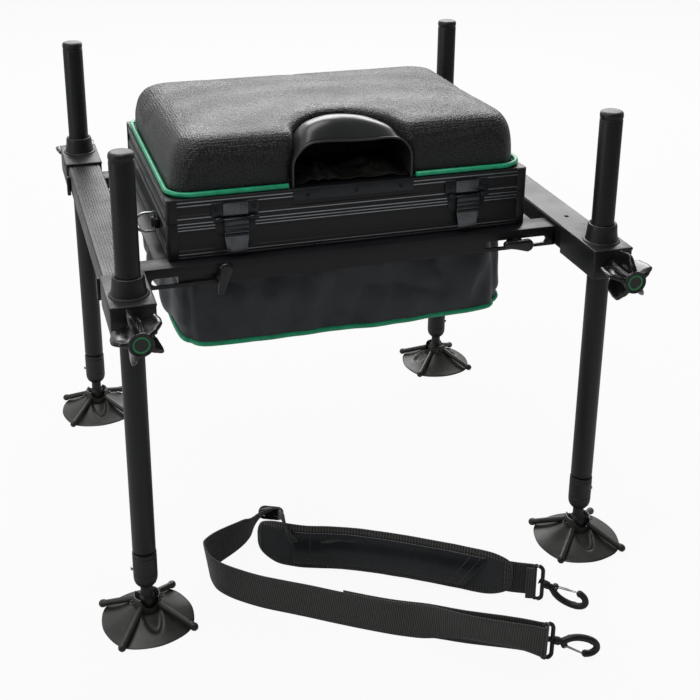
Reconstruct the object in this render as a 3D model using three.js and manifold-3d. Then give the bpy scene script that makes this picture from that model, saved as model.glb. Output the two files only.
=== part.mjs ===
// Fishing seat box: a lidded case with a cushion and a soft bag, carried in a four-legged frame,
// and its shoulder strap lying on the floor in front.
// Millimetres, Z up. The origin is on the floor, midway between the four legs. The front faces -Y.
import * as THREE from 'three';
import { mergeVertices } from 'three/addons/utils/BufferGeometryUtils.js';
import Module from 'manifold-3d';

const wasm = await Module();
wasm.setup();

// Frame
const frameHeight = 390.5;
const sideClearance = 34;
const legSetback = 70.4;
const fitGap = 0.35;

// Legs
const legDiameter = 25;
const legWall = 1.5;
const legHeight = 539;
const capHeadHeight = 9.5;
const capPlugLength = 14;

// Foot coupling
const ballHeight = 26;
const ballRadius = 10.3;
const stemRadius = 6.4;
const cupLip = 0.6;
const cupBase = 49;
const cupTop = 89;
const neckStep = 3;
const neckLength = 27;
const buttonHeight = 69;
const buttonRadius = 2.5;
const buttonTravel = 2.5;

// Mud foot
const footSideReach = 50;
const footCornerReach = 54;
const footRibReach = 57;
const footTurns = { front_left: 8, rear_left: 2 };
const footRibRadius = 3.2;
const footRibEndRadius = 4.3;
const footPlate = 2.8;
const hubWall = 5.2;

// Corner blocks and clamp knobs
const blockSideWall = 2.75;
const blockNoseWall = 16.9;
const blockTail = 53;
const collarHeight = 20.5;
const collarWall = 2.7;
const collarFlare = 2.2;
const studRadius = 4;
const knobDrop = 18.5;
const knobLength = 50.5;
const knobCoreRadius = 11;
const knobReach = 27.5;
const finThickness = 6;
const finCount = 5;

// Rails
const railWidth = 40;
const railHeight = 28;
const railWall = 2;
const railInset = 3;
const railSocket = 35;
const grooveWidth = 1.4;
const grooveDepth = 0.6;
const grooveCount = 7;
const crossHeight = 23.4;
const crossDepth = 28.4;
const crossWall = 3;
const crossClearance = 16.6;
const crossDrop = 4.5;
const slotHeight = 8.6;
const slotCentreDrop = 15;
const slotOverhang = 22;
const slotLengthLeft = 80;
const slotLengthRight = 78;
const tongueHeight = 14;
const lugHeight = 25;
const lugDepth = 7;
const lugReach = 4.5;

// Seat module
const caseWidth = 412;
const caseDepth = 306;
const trayHeight = 41.3;
const lidHeight = 26.65;
const caseWall = 2;
const caseFlange = 10.7;
const cornerPost = 16;
const panelRecess = 0.8;
const carrierOverhang = 15;
const carrierGrip = 10;
const carrierPlate = 3;
const carrierWebHeight = 22;
const wingInsetLeft = 54;
const wingInsetRight = 16;
const wingLength = 38;
const wingWidth = 9;
const wingThickness = 5;
const wingScrewRadius = 2.9;

// Hinge
const hingePinRadius = 1.8;
const knuckleRadius = 3.8;
const knuckleLength = 60;

// Latches
const latchOffset = 133;
const latchPlateWidth = 53;
const latchPlateHeight = 19;
const latchPlateThickness = 1.5;
const latchPinRadius = 1.5;
const leverWidth = 27;
const leverDrop = 36;
const leverThickness = 2;

// Cushion, piping, pocket
const cushionHeight = 64;
const cushionRearHeight = 48;
const cushionInset = 6.2;
const cushionEdge = 26;
const pipingRadius = 3;
const pocketHalf = 69;
const pocketDepth = 100;
const pocketRoof = 46;
const hoodThickness = 2.4;
const hoodBulge = 26;
const sillHeight = 12.5;

// Bag
const bagWall = 2.5;
const bagDrop = 103.35;
const bagSwell = 6;

// D-ring on each side of the case
const ringWire = 3;
const ringHeight = 25;
const ringReach = 23;
const ringForwardShare = 0.5556;
const ringHeightShare = 0.524;

// Shoulder strap
const webWidth = 40;
const webThickness = 1.6;
const padThickness = 6;
const padWidth = 58;
const loopBarRadius = 1.9;
const hookThickness = 4.6;

// Facets
const roundFacets = 16;
const smallFacets = 12;
const tinyFacets = 8;

function paint(color, roughness, metalness) {
  return new THREE.MeshStandardMaterial({ color, roughness, metalness });
}
const materials = {
  anodised: paint(0x232426, 0.45, 0.6),
  plastic: paint(0x1c1d1f, 0.5, 0),
  glossPlastic: paint(0x141516, 0.25, 0),
  steel: paint(0xb9bcc0, 0.3, 1),
  blackSteel: paint(0x26282b, 0.4, 0.7),
  foot: paint(0x26251f, 0.6, 0),
  cushion: paint(0x3a3b3d, 0.7, 0),
  piping: paint(0x2aa878, 0.5, 0),
  bag: paint(0x2b2c30, 0.5, 0),
  pvc: paint(0x202123, 0.3, 0),
  webbing: paint(0x1d1e20, 0.85, 0),
};

const group = new THREE.Group();
group.name = 'fishing_seat_box';

// Turns a closed geometry into a solid with its faces outwards.
function solid(geometry) {
  const bare = geometry.index ? geometry.toNonIndexed() : geometry;
  bare.deleteAttribute('normal');
  bare.deleteAttribute('uv');
  const merged = mergeVertices(bare, 1e-4);
  const corners = merged.attributes.position.array;
  const faces = [];
  let volume = 0;
  for (let i = 0; i < merged.index.count; i += 3) {
    const [a, b, c] = [0, 1, 2].map((k) => merged.index.getX(i + k));
    if (a === b || b === c || a === c) continue;
    faces.push([a, b, c]);
    const p = [a, b, c].map((k) => new THREE.Vector3().fromArray(corners, k * 3));
    volume += p[0].dot(p[1].cross(p[2]));
  }
  const turned = volume < 0 ? faces.map(([a, b, c]) => [a, c, b]) : faces;
  return new wasm.Manifold(new wasm.Mesh({
    numProp: 3,
    vertProperties: new Float32Array(corners),
    triVerts: new Uint32Array(turned.flat()),
  }));
}

// Adds one finished piece to the group.
function piece(name, body, material) {
  const mesh = body.getMesh();
  const geometry = new THREE.BufferGeometry();
  geometry.setAttribute('position', new THREE.BufferAttribute(new Float32Array(mesh.vertProperties), 3));
  geometry.setIndex(new THREE.BufferAttribute(new Uint32Array(mesh.triVerts), 1));
  geometry.computeVertexNormals();
  const node = new THREE.Mesh(geometry, material);
  node.name = name;
  group.add(node);
}

const span = (a, b) => [Math.min(a, b), Math.max(a, b)];

// A box between limits on each axis.
function block(xs, ys, zs, parts = [1, 1, 1]) {
  const size = [xs, ys, zs].map(([low, high]) => high - low);
  const mid = [xs, ys, zs].map(([low, high]) => (low + high) / 2);
  const geometry = new THREE.BoxGeometry(...size, ...parts);
  geometry.translate(...mid);
  return geometry;
}

const box = (xs, ys, zs) => solid(block(xs, ys, zs));

// A round bar along one axis, from one station to another.
function bar(axis, radius, [from, to], [first, second], facets = smallFacets) {
  const geometry = new THREE.CylinderGeometry(radius, radius, to - from, facets);
  const along = (from + to) / 2;
  if (axis === 'x') {
    geometry.rotateZ(Math.PI / 2);
    geometry.translate(along, first, second);
  } else if (axis === 'y') {
    geometry.translate(first, along, second);
  } else {
    geometry.rotateX(Math.PI / 2);
    geometry.translate(first, second, along);
  }
  return solid(geometry);
}

// A turned shape about the Z axis from a profile of [radius, height] pairs.
function turnedGeometry(profile, facets) {
  const points = profile.map(([radius, height]) => new THREE.Vector2(radius, height));
  if (profile[0][0] > 0) points.push(points[0].clone());
  const geometry = new THREE.LatheGeometry(points, facets);
  geometry.rotateX(Math.PI / 2);
  return geometry;
}

const turned = (profile, facets = roundFacets) => solid(turnedGeometry(profile, facets));

// A flat outline in X and Y, raised along Z.
function raised(points, [from, to], holes = []) {
  const outline = (list) => list.map(([x, y]) => new THREE.Vector2(x, y));
  const shape = new THREE.Shape(outline(points));
  shape.holes = holes.map((hole) => new THREE.Path(outline(hole)));
  const geometry = new THREE.ExtrudeGeometry(shape, { depth: to - from, bevelEnabled: false });
  geometry.translate(0, 0, from);
  return geometry;
}

// A rounded rectangle as a list of points.
function roundedOutline([x0, x1], [y0, y1], radius, steps) {
  const xs = [x0 + radius, x1 - radius];
  const ys = [y0 + radius, y1 - radius];
  const centres = [[xs[1], ys[1]], [xs[0], ys[1]], [xs[0], ys[0]], [xs[1], ys[0]]];
  return centres.flatMap(([cx, cy], quarter) => Array.from({ length: steps + 1 }, (_, i) => {
    const angle = (quarter + i / steps) * Math.PI / 2;
    return [cx + radius * Math.cos(angle), cy + radius * Math.sin(angle)];
  }));
}

// Moves each vertex of a geometry with a function of its position.
function reshaped(geometry, move) {
  const position = geometry.attributes.position;
  for (let i = 0; i < position.count; i += 1) {
    const [x, y, z] = move(position.getX(i), position.getY(i), position.getZ(i));
    position.setXYZ(i, x, y, z);
  }
  return geometry;
}

// A line through given points, with one station at each point.
class StationLine extends THREE.Curve {
  constructor(points) {
    super();
    this.points = points.map((point) => new THREE.Vector3(...point));
  }

  getUtoTmapping(share) {
    return share;
  }

  getPoint(share) {
    const last = this.points.length - 1;
    const at = Math.min(last, Math.max(0, share * last));
    const index = Math.min(last - 1, Math.floor(at));
    return this.points[index].clone().lerp(this.points[index + 1], at - index);
  }

  getTangent(share) {
    const step = 1 / (this.points.length - 1);
    return this.getPoint(share + step).sub(this.getPoint(share - step)).normalize();
  }
}

// A round cord through given points.
function cord(points, radius, facets) {
  const section = new THREE.Shape(Array.from({ length: facets }, (_, i) => {
    const angle = (i + 1 / 2) * 2 * Math.PI / facets;
    return new THREE.Vector2(radius * Math.cos(angle), radius * Math.sin(angle));
  }));
  const extrudePath = new StationLine(points);
  const steps = points.length - 1;
  return solid(new THREE.ExtrudeGeometry(section, { steps, bevelEnabled: false, extrudePath }));
}

// Places and heights that several pieces share
const legRadius = legDiameter / 2;
const neckRadius = legRadius - neckStep;
const cupRadius = legRadius + cupLip;
const hubRadius = ballRadius + hubWall;
const collarTopRadius = legRadius + collarWall;
const collarFootRadius = collarTopRadius + collarFlare;
const caseX = caseWidth / 2;
const caseFront = caseDepth / 2;
const crossFace = caseFront + crossClearance;
const railInner = caseX + sideClearance;
const railOuter = railInner + railWidth;
const legX = railInner + railWidth / 2;
const legY = crossFace + legSetback;
const blockWidth = railWidth + blockSideWall * 2;
const blockHeight = railHeight + railInset * 2;
const blockNose = legRadius + blockNoseWall;
const blockTop = frameHeight;
const railTop = blockTop - railInset;
const railBase = railTop - railHeight;
const crossTop = railTop - crossDrop;
const caseBase = crossTop + fitGap;
const trayTop = caseBase + trayHeight;
const splitHeight = trayTop + fitGap;
const lidBase = splitHeight + fitGap;
const lidTop = lidBase + lidHeight;
const bagBottom = caseBase - bagDrop;
const slotOuter = caseX + slotOverhang;
const slotInnerLeft = slotOuter - slotLengthLeft;
const slotInnerRight = slotOuter - slotLengthRight;
const carrierOuter = caseX + carrierOverhang;
const carrierInner = caseX - carrierGrip;
const ringPlaceY = -caseFront * ringForwardShare;
const ringPlaceHeight = caseBase + trayHeight * ringHeightShare;
const corners = [['front_left', -1, -1], ['front_right', 1, -1], ['rear_left', -1, 1], ['rear_right', 1, 1]];
const sides = [['left', -1], ['right', 1]];

const tubeTop = legHeight - capHeadHeight;
const neckBottom = cupTop - neckLength;
const neckBore = neckRadius - legWall;
const shoulder = cupTop + legWall;
const tubeFoot = shoulder + legWall;

// Legs, their caps, couplings, buttons and feet
function legTube(side) {
  const bore = legRadius - legWall;
  const tube = turned([
    [neckRadius, neckBottom],
    [neckRadius, shoulder - legWall / 2],
    [legRadius - legWall / 2, shoulder],
    [legRadius, tubeFoot],
    [legRadius, tubeTop],
    [bore, tubeTop],
    [bore, tubeFoot + legWall],
    [neckBore, shoulder + legWall],
    [neckBore, neckBottom],
  ]);
  const hole = bar('x', buttonRadius + fitGap, span(0, side * legRadius), [0, buttonHeight], tinyFacets);
  return tube.subtract(hole);
}

function legCap() {
  const plug = legRadius - legWall - fitGap;
  const head = tubeTop + fitGap;
  return turned([
    [0, tubeTop - capPlugLength],
    [plug, tubeTop - capPlugLength],
    [plug, head],
    [legRadius, head],
    [legRadius, legHeight - capHeadHeight * 0.35],
    [legRadius * 0.85, legHeight - capHeadHeight * 0.08],
    [0, legHeight],
  ]);
}

function footCoupling(side) {
  const ballSteps = 5;
  const stemAngle = Math.acos(stemRadius / ballRadius);
  const ball = Array.from({ length: ballSteps + 1 }, (_, i) => {
    const angle = -Math.PI / 2 + (i / ballSteps) * (Math.PI / 2 + stemAngle);
    return [i === 0 ? 0 : ballRadius * Math.cos(angle), ballHeight + ballRadius * Math.sin(angle)];
  });
  const chamfer = cupRadius - neckRadius;
  const body = turned([
    ...ball,
    [stemRadius, cupBase - chamfer / 2],
    [neckRadius, cupBase],
    [cupRadius, cupBase + chamfer],
    [cupRadius, cupTop - chamfer / 3],
    [cupRadius - chamfer / 3, cupTop],
    [neckRadius + fitGap, cupTop],
    [neckRadius + fitGap, neckBottom - chamfer / 3],
    [0, neckBottom - chamfer / 3],
  ], roundFacets);
  const hole = bar('x', buttonRadius + fitGap, span(0, side * cupRadius * 2), [0, buttonHeight], tinyFacets);
  return body.subtract(hole);
}

function releaseButton(side) {
  const tip = cupRadius + buttonTravel;
  const collar = neckBore - fitGap * 2;
  const place = [0, buttonHeight];
  const pin = bar('x', buttonRadius, span(side * (collar - buttonTravel), side * tip), place, tinyFacets);
  const flangeSpan = span(side * (collar - buttonTravel), side * (collar - buttonTravel / 2));
  const flange = bar('x', buttonRadius + legWall, flangeSpan, place, tinyFacets);
  return pin.add(flange);
}

function mudFoot() {
  const lip = ballHeight + ballRadius * 0.4;
  const rimHeight = footPlate / 3;
  const reach = (angle) => footSideReach + (footCornerReach - footSideReach) * Math.sin(2 * angle) ** 2;
  const spread = (x, y, z) => {
    const radius = Math.hypot(x, y);
    if (radius <= hubRadius) return [x, y, z];
    const share = (radius - hubRadius) / (footSideReach - hubRadius);
    const grown = hubRadius + share * (reach(Math.atan2(y, x)) - hubRadius);
    return [x * grown / radius, y * grown / radius, z];
  };
  const shell = turnedGeometry([
    [0, ballHeight],
    [hubRadius, ballHeight - footPlate],
    [hubRadius * 1.9, ballHeight / 2],
    [footSideReach * 0.95, footPlate * 1.1],
    [footSideReach, rimHeight],
    [footSideReach, 0],
    [footSideReach - footPlate, 0],
    [hubRadius * 1.9, ballHeight / 2 - footPlate],
    [0, ballHeight / 2 - footPlate],
  ], roundFacets);
  let foot = solid(reshaped(shell, spread));
  const hub = turned([
    [0, ballHeight / 2 - footPlate],
    [hubRadius, ballHeight / 2 - footPlate],
    [hubRadius, lip],
    [hubRadius - footPlate / 2, lip + footPlate],
    [0, lip + footPlate],
  ], roundFacets);
  foot = foot.add(hub);
  const ribEndHeight = footRibEndRadius;
  const ribStart = hubRadius * 0.8;
  const ribStartHeight = ballHeight - footRibRadius;
  const run = footRibReach - ribStart;
  const fall = ribStartHeight - ribEndHeight;
  const ribLength = Math.hypot(run, fall);
  for (const quarter of [1, 3, 5, 7]) {
    const rib = new THREE.CylinderGeometry(footRibRadius, footRibRadius, ribLength, tinyFacets * 0.75);
    rib.rotateZ(Math.PI / 2);
    rib.rotateY(Math.atan2(fall, run));
    rib.translate((ribStart + footRibReach) / 2, 0, (ribStartHeight + ribEndHeight) / 2);
    rib.rotateZ(quarter * Math.PI / 4);
    const end = new THREE.SphereGeometry(footRibEndRadius, tinyFacets, tinyFacets / 2);
    end.rotateX(Math.PI / 2);
    end.translate(footRibReach, 0, ribEndHeight);
    end.rotateZ(quarter * Math.PI / 4);
    foot = foot.add(solid(rib)).add(solid(end));
  }
  const cavityRadius = ballRadius + fitGap * 4;
  const cavity = new THREE.SphereGeometry(cavityRadius, smallFacets, smallFacets / 2);
  cavity.rotateX(Math.PI / 2);
  cavity.translate(0, 0, ballHeight);
  const mouth = Math.sqrt(cavityRadius ** 2 - (lip - ballHeight) ** 2);
  const flare = turned([
    [0, lip - fitGap],
    [mouth, lip - fitGap],
    [mouth + footPlate * 1.1, lip + footPlate + fitGap],
    [0, lip + footPlate + fitGap],
  ], roundFacets);
  return foot.subtract(solid(cavity)).subtract(flare);
}

for (const [name, side, end] of corners) {
  const place = [side * legX, end * legY, 0];
  piece(`leg_tube_${name}`, legTube(side).translate(place), materials.anodised);
  piece(`leg_cap_${name}`, legCap().translate(place), materials.plastic);
  piece(`foot_coupling_${name}`, footCoupling(side).translate(place), materials.plastic);
  piece(`release_button_${name}`, releaseButton(side).translate(place), materials.steel);
  const foot = mudFoot().rotate([0, 0, footTurns[name] ?? 0]);
  piece(`mud_foot_${name}`, foot.translate(place), materials.foot);
}

// Corner blocks and clamp knobs
const blockBase = blockTop - blockHeight;
const blockFace = legY + blockNose;
const railEnd = legY - blockTail + railSocket;
const knobHeight = blockTop - knobDrop;

function cornerBlock(side, end) {
  const half = blockWidth / 2;
  const body = box([-half, half], span(end * (legY - blockTail), end * blockFace), [blockBase, blockTop])
    .translate([side * legX, 0, 0]);
  const collar = turned([
    [0, blockTop - legWall],
    [collarFootRadius, blockTop - legWall],
    [collarFootRadius, blockTop + legWall],
    [collarTopRadius + legWall, blockTop + collarHeight * 0.6],
    [collarTopRadius, blockTop + collarHeight],
    [0, blockTop + collarHeight],
  ]).translate([side * legX, end * legY, 0]);
  const bore = bar('z', legRadius + fitGap, [blockBase - legWall, blockTop + collarHeight + legWall],
    [side * legX, end * legY], roundFacets);
  const socketHalf = railWidth / 2 + fitGap;
  const socket = box([side * legX - socketHalf, side * legX + socketHalf],
    span(end * (legY - blockTail - legWall), end * (railEnd + fitGap)),
    [railBase - fitGap, railTop + fitGap]);
  const studSpan = span(end * legY, end * (blockFace + legWall));
  const studHole = bar('y', studRadius + fitGap, studSpan, [side * legX, knobHeight]);
  return body.add(collar).subtract(bore).subtract(socket).subtract(studHole);
}

// The knob is drawn pointing up, then laid over so that it points away from the block.
function clampKnob(side, end, turn) {
  const foot = fitGap;
  const stud = bar('z', studRadius, [legRadius + fitGap - blockNose, knobLength / 2], [0, 0]);
  const core = turned([
    [0, foot],
    [knobCoreRadius * 0.85, foot],
    [knobCoreRadius, knobLength * 0.9],
    [knobCoreRadius * 0.92, knobLength],
    [0, knobLength],
  ], smallFacets + tinyFacets / 2);
  let knob = stud.add(core);
  const finFoot = knobLength * 0.27;
  const finTop = knobLength * 0.96;
  const edge = finThickness / 2;
  for (let i = 0; i < finCount; i += 1) {
    const web = block([knobCoreRadius / 2, knobReach - edge], [-edge, edge], [finFoot, finTop]);
    const tip = new THREE.CylinderGeometry(edge, edge, finTop - finFoot, tinyFacets);
    tip.rotateX(Math.PI / 2);
    tip.translate(knobReach - edge, 0, (finFoot + finTop) / 2);
    const angle = THREE.MathUtils.degToRad(turn) + i * 2 * Math.PI / finCount;
    web.rotateZ(angle);
    tip.rotateZ(angle);
    knob = knob.add(solid(web)).add(solid(tip));
  }
  return knob.rotate([90, 0, end > 0 ? 180 : 0]).translate([side * legX, end * blockFace, knobHeight]);
}

const knobTurns = { front_left: 37, front_right: 22, rear_left: 10, rear_right: 50 };
for (const [name, side, end] of corners) {
  piece(`corner_block_${name}`, cornerBlock(side, end), materials.plastic);
  piece(`clamp_knob_${name}`, clampKnob(side, end, knobTurns[name]), materials.glossPlastic);
}

// Side rails
const crossBase = crossTop - crossHeight;
const slotHeightCentre = crossTop - slotCentreDrop;
const tongueSpan = [slotHeightCentre - tongueHeight / 2, slotHeightCentre + tongueHeight / 2];

function sideRail(side) {
  const xs = span(side * railInner, side * railOuter);
  const bore = span(side * (railInner + railWall), side * (railOuter - railWall));
  let rail = box(xs, [-railEnd, railEnd], [railBase, railTop])
    .subtract(box(bore, [-railEnd - railWall, railEnd + railWall],
      [railBase + railWall, railTop - railWall]));
  const pitch = (side < 0 ? railWidth : railHeight) / (grooveCount + 1);
  for (let i = 1; i <= grooveCount; i += 1) {
    const ys = [-railEnd - railWall, railEnd + railWall];
    const along = [i * pitch - grooveWidth / 2, i * pitch + grooveWidth / 2];
    const groove = side < 0
      ? box(along.map((v) => xs[0] + v), ys, [railTop - grooveDepth, railTop + grooveDepth])
      : box(span(railInner - grooveDepth, railInner + grooveDepth), ys, along.map((v) => railBase + v));
    rail = rail.subtract(groove);
  }
  for (const end of [-1, 1]) {
    rail = rail.subtract(box(span(side * (railInner - railWall), side * (railOuter + railWall)),
      span(end * (crossFace - crossWall - fitGap), end * (crossFace + fitGap)),
      [tongueSpan[0] - fitGap, tongueSpan[1] + fitGap]));
  }
  if (side > 0) {
    const place = [legX, crossDepth / 2 - crossFace];
    rail = rail.subtract(bar('z', crossWall, [railTop - railWall * 2, railTop + railWall], place, tinyFacets));
  }
  return rail;
}

for (const [name, side] of sides) {
  piece(`side_rail_${name}`, sideRail(side), materials.anodised);
}

// Cross rails: an angle section with slots, and a tongue through each side rail
function slot(xs, ys) {
  const radius = slotHeight / 2;
  const half = [slotHeightCentre - radius, slotHeightCentre + radius];
  return box([xs[0] + radius, xs[1] - radius], ys, half)
    .add(bar('y', radius, ys, [xs[0] + radius, slotHeightCentre]))
    .add(bar('y', radius, ys, [xs[1] - radius, slotHeightCentre]));
}

function crossRail(end) {
  const butt = railInner - fitGap;
  const shelf = span(end * (crossFace - crossDepth), end * crossFace);
  let rail = box([-butt, butt], shelf, [crossTop - crossWall, crossTop])
    .add(box([-butt, butt], span(end * (crossFace - crossWall), end * crossFace), [crossBase, crossTop]));
  const through = span(end * (crossFace - crossWall * 2), end * (crossFace + crossWall));
  rail = rail.subtract(slot([-slotOuter, -slotInnerLeft], through))
    .subtract(slot([slotInnerRight, slotOuter], through));
  for (const side of [-1, 1]) {
    const lugBase = railOuter + fitGap;
    const tongue = box(span(side * (butt - crossWall), side * (lugBase + lugReach / 2)),
      span(end * (crossFace - crossWall), end * crossFace), tongueSpan);
    const lug = box(span(side * lugBase, side * (lugBase + lugReach)),
      span(end * (crossFace - lugDepth + crossWall / 2), end * (crossFace + crossWall / 2)),
      [slotHeightCentre - lugHeight / 2, slotHeightCentre + lugHeight / 2]);
    rail = rail.add(tongue).add(lug);
  }
  return rail;
}

piece('cross_rail_front', crossRail(-1), materials.anodised);
piece('cross_rail_rear', crossRail(1), materials.anodised);

// Carrier bars: an angle between the cross rails, with a tab that the wing screw pulls on
const crossInner = crossFace - crossDepth;
const tabFace = crossFace - crossWall - fitGap;
const wings = { left: [wingInsetLeft - caseX, 77], right: [caseX - wingInsetRight, -7] };

function carrierBar(name, side) {
  const reach = crossInner - fitGap;
  const web = span(side * carrierInner, side * (carrierInner + carrierPlate));
  const top = crossTop - crossWall - fitGap;
  const plate = span(side * carrierInner, side * carrierOuter);
  let carrier = box(plate, [-reach, reach], [crossTop - carrierPlate, crossTop])
    .add(box(web, [-tabFace, tabFace], [crossTop - carrierWebHeight, top]))
    .add(box(web, [-reach, reach], [crossTop - carrierWebHeight, crossTop]));
  const wingX = wings[name][0];
  const inner = wingX - side * wingWidth;
  const tabSpan = [slotHeightCentre - slotHeight * 0.75, slotHeightCentre + slotHeight * 0.75];
  for (const end of [-1, 1]) {
    carrier = carrier.add(box(span(side * (carrierInner + carrierPlate / 2), inner),
      span(end * (tabFace - carrierPlate), end * tabFace), tabSpan));
  }
  carrier = carrier.subtract(bar('y', wingScrewRadius + fitGap, [-crossFace, -tabFace + carrierPlate * 2],
    [wingX, slotHeightCentre]));
  return carrier;
}

for (const [name, side] of sides) {
  piece(`carrier_bar_${name}`, carrierBar(name, side), materials.anodised);
}

// Wing screws on the front cross rail
function wingScrew([x, tilt]) {
  const face = crossFace + fitGap;
  const bossLength = wingThickness;
  const screw = bar('y', wingScrewRadius, [-face - bossLength, -tabFace + carrierPlate * 1.5], [0, 0]);
  const boss = bar('y', wingWidth * 0.6, [-face - bossLength, -face], [0, 0]);
  const half = wingLength / 2 - wingWidth / 2;
  const ys = [-face - bossLength - wingThickness, -face - bossLength + fitGap];
  const paddle = box([-half, half], ys, [-wingWidth / 2, wingWidth / 2])
    .add(bar('y', wingWidth / 2, ys, [-half, 0]))
    .add(bar('y', wingWidth / 2, ys, [half, 0]));
  return screw.add(boss).add(paddle).rotate([0, -tilt, 0]).translate([x, 0, slotHeightCentre]);
}

for (const [name] of sides) {
  piece(`wing_screw_${name}`, wingScrew(wings[name]), materials.glossPlastic);
}

// Case: a ring of walls on the carriers, with an inner flange that the bag hangs on
const caseRear = caseDepth - caseFront;
const hingeY = caseRear + knuckleRadius + fitGap;
const ringX = caseX + ringWire * 1.3;

function wallRing([low, high]) {
  return box([-caseX, caseX], [-caseFront, caseRear], [low, high])
    .subtract(box([caseWall - caseX, caseX - caseWall], [caseWall - caseFront, caseRear - caseWall],
      [low - caseWall, high + caseWall]));
}

// Shallow panels between the ribbed edges of the extrusions
function panels([low, high]) {
  const across = [cornerPost - caseX, caseX - cornerPost];
  const along = [cornerPost - caseFront, caseRear - cornerPost];
  return box(across, [-caseFront - panelRecess, panelRecess - caseFront], [low, high])
    .add(box(across, [caseRear - panelRecess, caseRear + panelRecess], [low, high]))
    .add(box([-caseX - panelRecess, panelRecess - caseX], along, [low, high]))
    .add(box([caseX - panelRecess, caseX + panelRecess], along, [low, high]));
}

function knuckle(x, [low, high]) {
  const arm = box([x - knuckleLength / 2, x + knuckleLength / 2], [caseRear - caseWall / 2, hingeY],
    [low, high]);
  const gap = fitGap / 2;
  const xs = [x - knuckleLength / 2 + gap, x + knuckleLength / 2 - gap];
  const barrel = bar('x', knuckleRadius, xs, [hingeY, splitHeight]);
  return barrel.add(arm.intersect(box([x - knuckleLength / 2 + gap, x + knuckleLength / 2 - gap],
    [caseRear - caseWall, hingeY + knuckleRadius], [low, high])));
}

const pinBore = bar('x', hingePinRadius + fitGap / 2, [-caseX, caseX], [hingeY, splitHeight]);
const trayKnuckles = [-2, 0, 2].map((step) => step * knuckleLength);
const lidKnuckles = [-1, 1].map((step) => step * knuckleLength);

// Room cut in one half's wall for the other half's barrels
function barrelRoom(stations) {
  return stations.map((x) => bar('x', knuckleRadius + fitGap,
    [x - knuckleLength / 2 - fitGap, x + knuckleLength / 2 + fitGap], [hingeY, splitHeight]))
    .reduce((all, next) => all.add(next));
}

function caseBody() {
  const rib = cornerPost / 2;
  const inner = caseWall + caseFlange;
  const flange = box([-caseX, caseX], [-caseFront, caseRear], [caseBase, caseBase + caseWall])
    .subtract(box([inner - caseX, caseX - inner], [inner - caseFront, caseRear - inner],
      [caseBase - caseWall, trayTop]));
  let body = wallRing([caseBase, trayTop]).add(flange)
    .subtract(panels([caseBase + rib, trayTop - rib]));
  for (const x of trayKnuckles) {
    body = body.add(knuckle(x, [splitHeight - knuckleRadius, trayTop]));
  }
  for (const side of [-1, 1]) {
    const catchBase = (caseBase + trayTop) / 2;
    body = body.add(box([side * latchOffset - leverWidth / 3, side * latchOffset + leverWidth / 3],
      [-caseFront - caseWall, panelRecess * 2 - caseFront], [catchBase, catchBase + caseWall * 2]));
  }
  for (const side of [-1, 1]) {
    const grip = ringWire * 1.3;
    const barrel = box(span(side * (caseX - caseWall / 2), side * (ringX + grip)),
      [ringPlaceY - grip, ringPlaceY + grip],
      [ringPlaceHeight - grip, ringPlaceHeight + grip]);
    body = body.add(barrel).subtract(bar('z', ringWire * 0.75 + fitGap,
      [ringPlaceHeight - ringHeight, ringPlaceHeight + ringHeight], [side * ringX, ringPlaceY]));
  }
  return body.subtract(barrelRoom(lidKnuckles)).subtract(pinBore);
}

// A D-ring whose straight bar turns in the barrel on the case's side
function strapRing(side) {
  const half = ringHeight / 2;
  const turnedPart = (inset) => {
    const radius = half - inset;
    const centre = ringReach - half;
    const arc = Array.from({ length: 9 }, (_, i) => {
      const angle = -Math.PI / 2 + i * Math.PI / 8;
      return [centre + radius * Math.cos(angle), radius * Math.sin(angle)];
    });
    return [[inset - ringWire / 2, half - inset], [inset - ringWire / 2, inset - half], ...arc];
  };
  const ring = raised(turnedPart(0), [-ringWire / 2, ringWire / 2], [turnedPart(ringWire)]);
  ring.rotateX(Math.PI / 2);
  return solid(ring).rotate([0, 0, side < 0 ? 180 : 0])
    .translate([side * ringX, ringPlaceY, ringPlaceHeight]);
}

function lidFrame() {
  const rib = cornerPost / 3;
  const board = box([-caseX, caseX], [-caseFront, caseRear], [lidTop - caseWall * 1.5, lidTop]);
  let body = wallRing([lidBase, lidTop]).add(board)
    .subtract(panels([lidBase + rib * 1.6, lidTop - rib * 1.6]));
  for (const x of lidKnuckles) {
    body = body.add(knuckle(x, [lidBase, splitHeight + knuckleRadius]));
  }
  return body.subtract(barrelRoom(trayKnuckles)).subtract(pinBore);
}

piece('case_body', caseBody(), materials.anodised);
for (const [name, side] of sides) {
  piece(`strap_ring_${name}`, strapRing(side), materials.steel);
}
piece('lid_frame', lidFrame(), materials.anodised);
const hingePinSpan = [-knuckleLength * 2.5, knuckleLength * 2.5];
piece('hinge_pin', bar('x', hingePinRadius, hingePinSpan, [hingeY, splitHeight], tinyFacets), materials.steel);

// Draw latches: a plate and pin on the lid, and a lever that hangs over the tray
const plateFace = caseFront + fitGap + latchPlateThickness;
const latchPinY = plateFace + latchPinRadius * 2;
const latchPinHeight = splitHeight + fitGap;
const plateBase = splitHeight;

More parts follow.
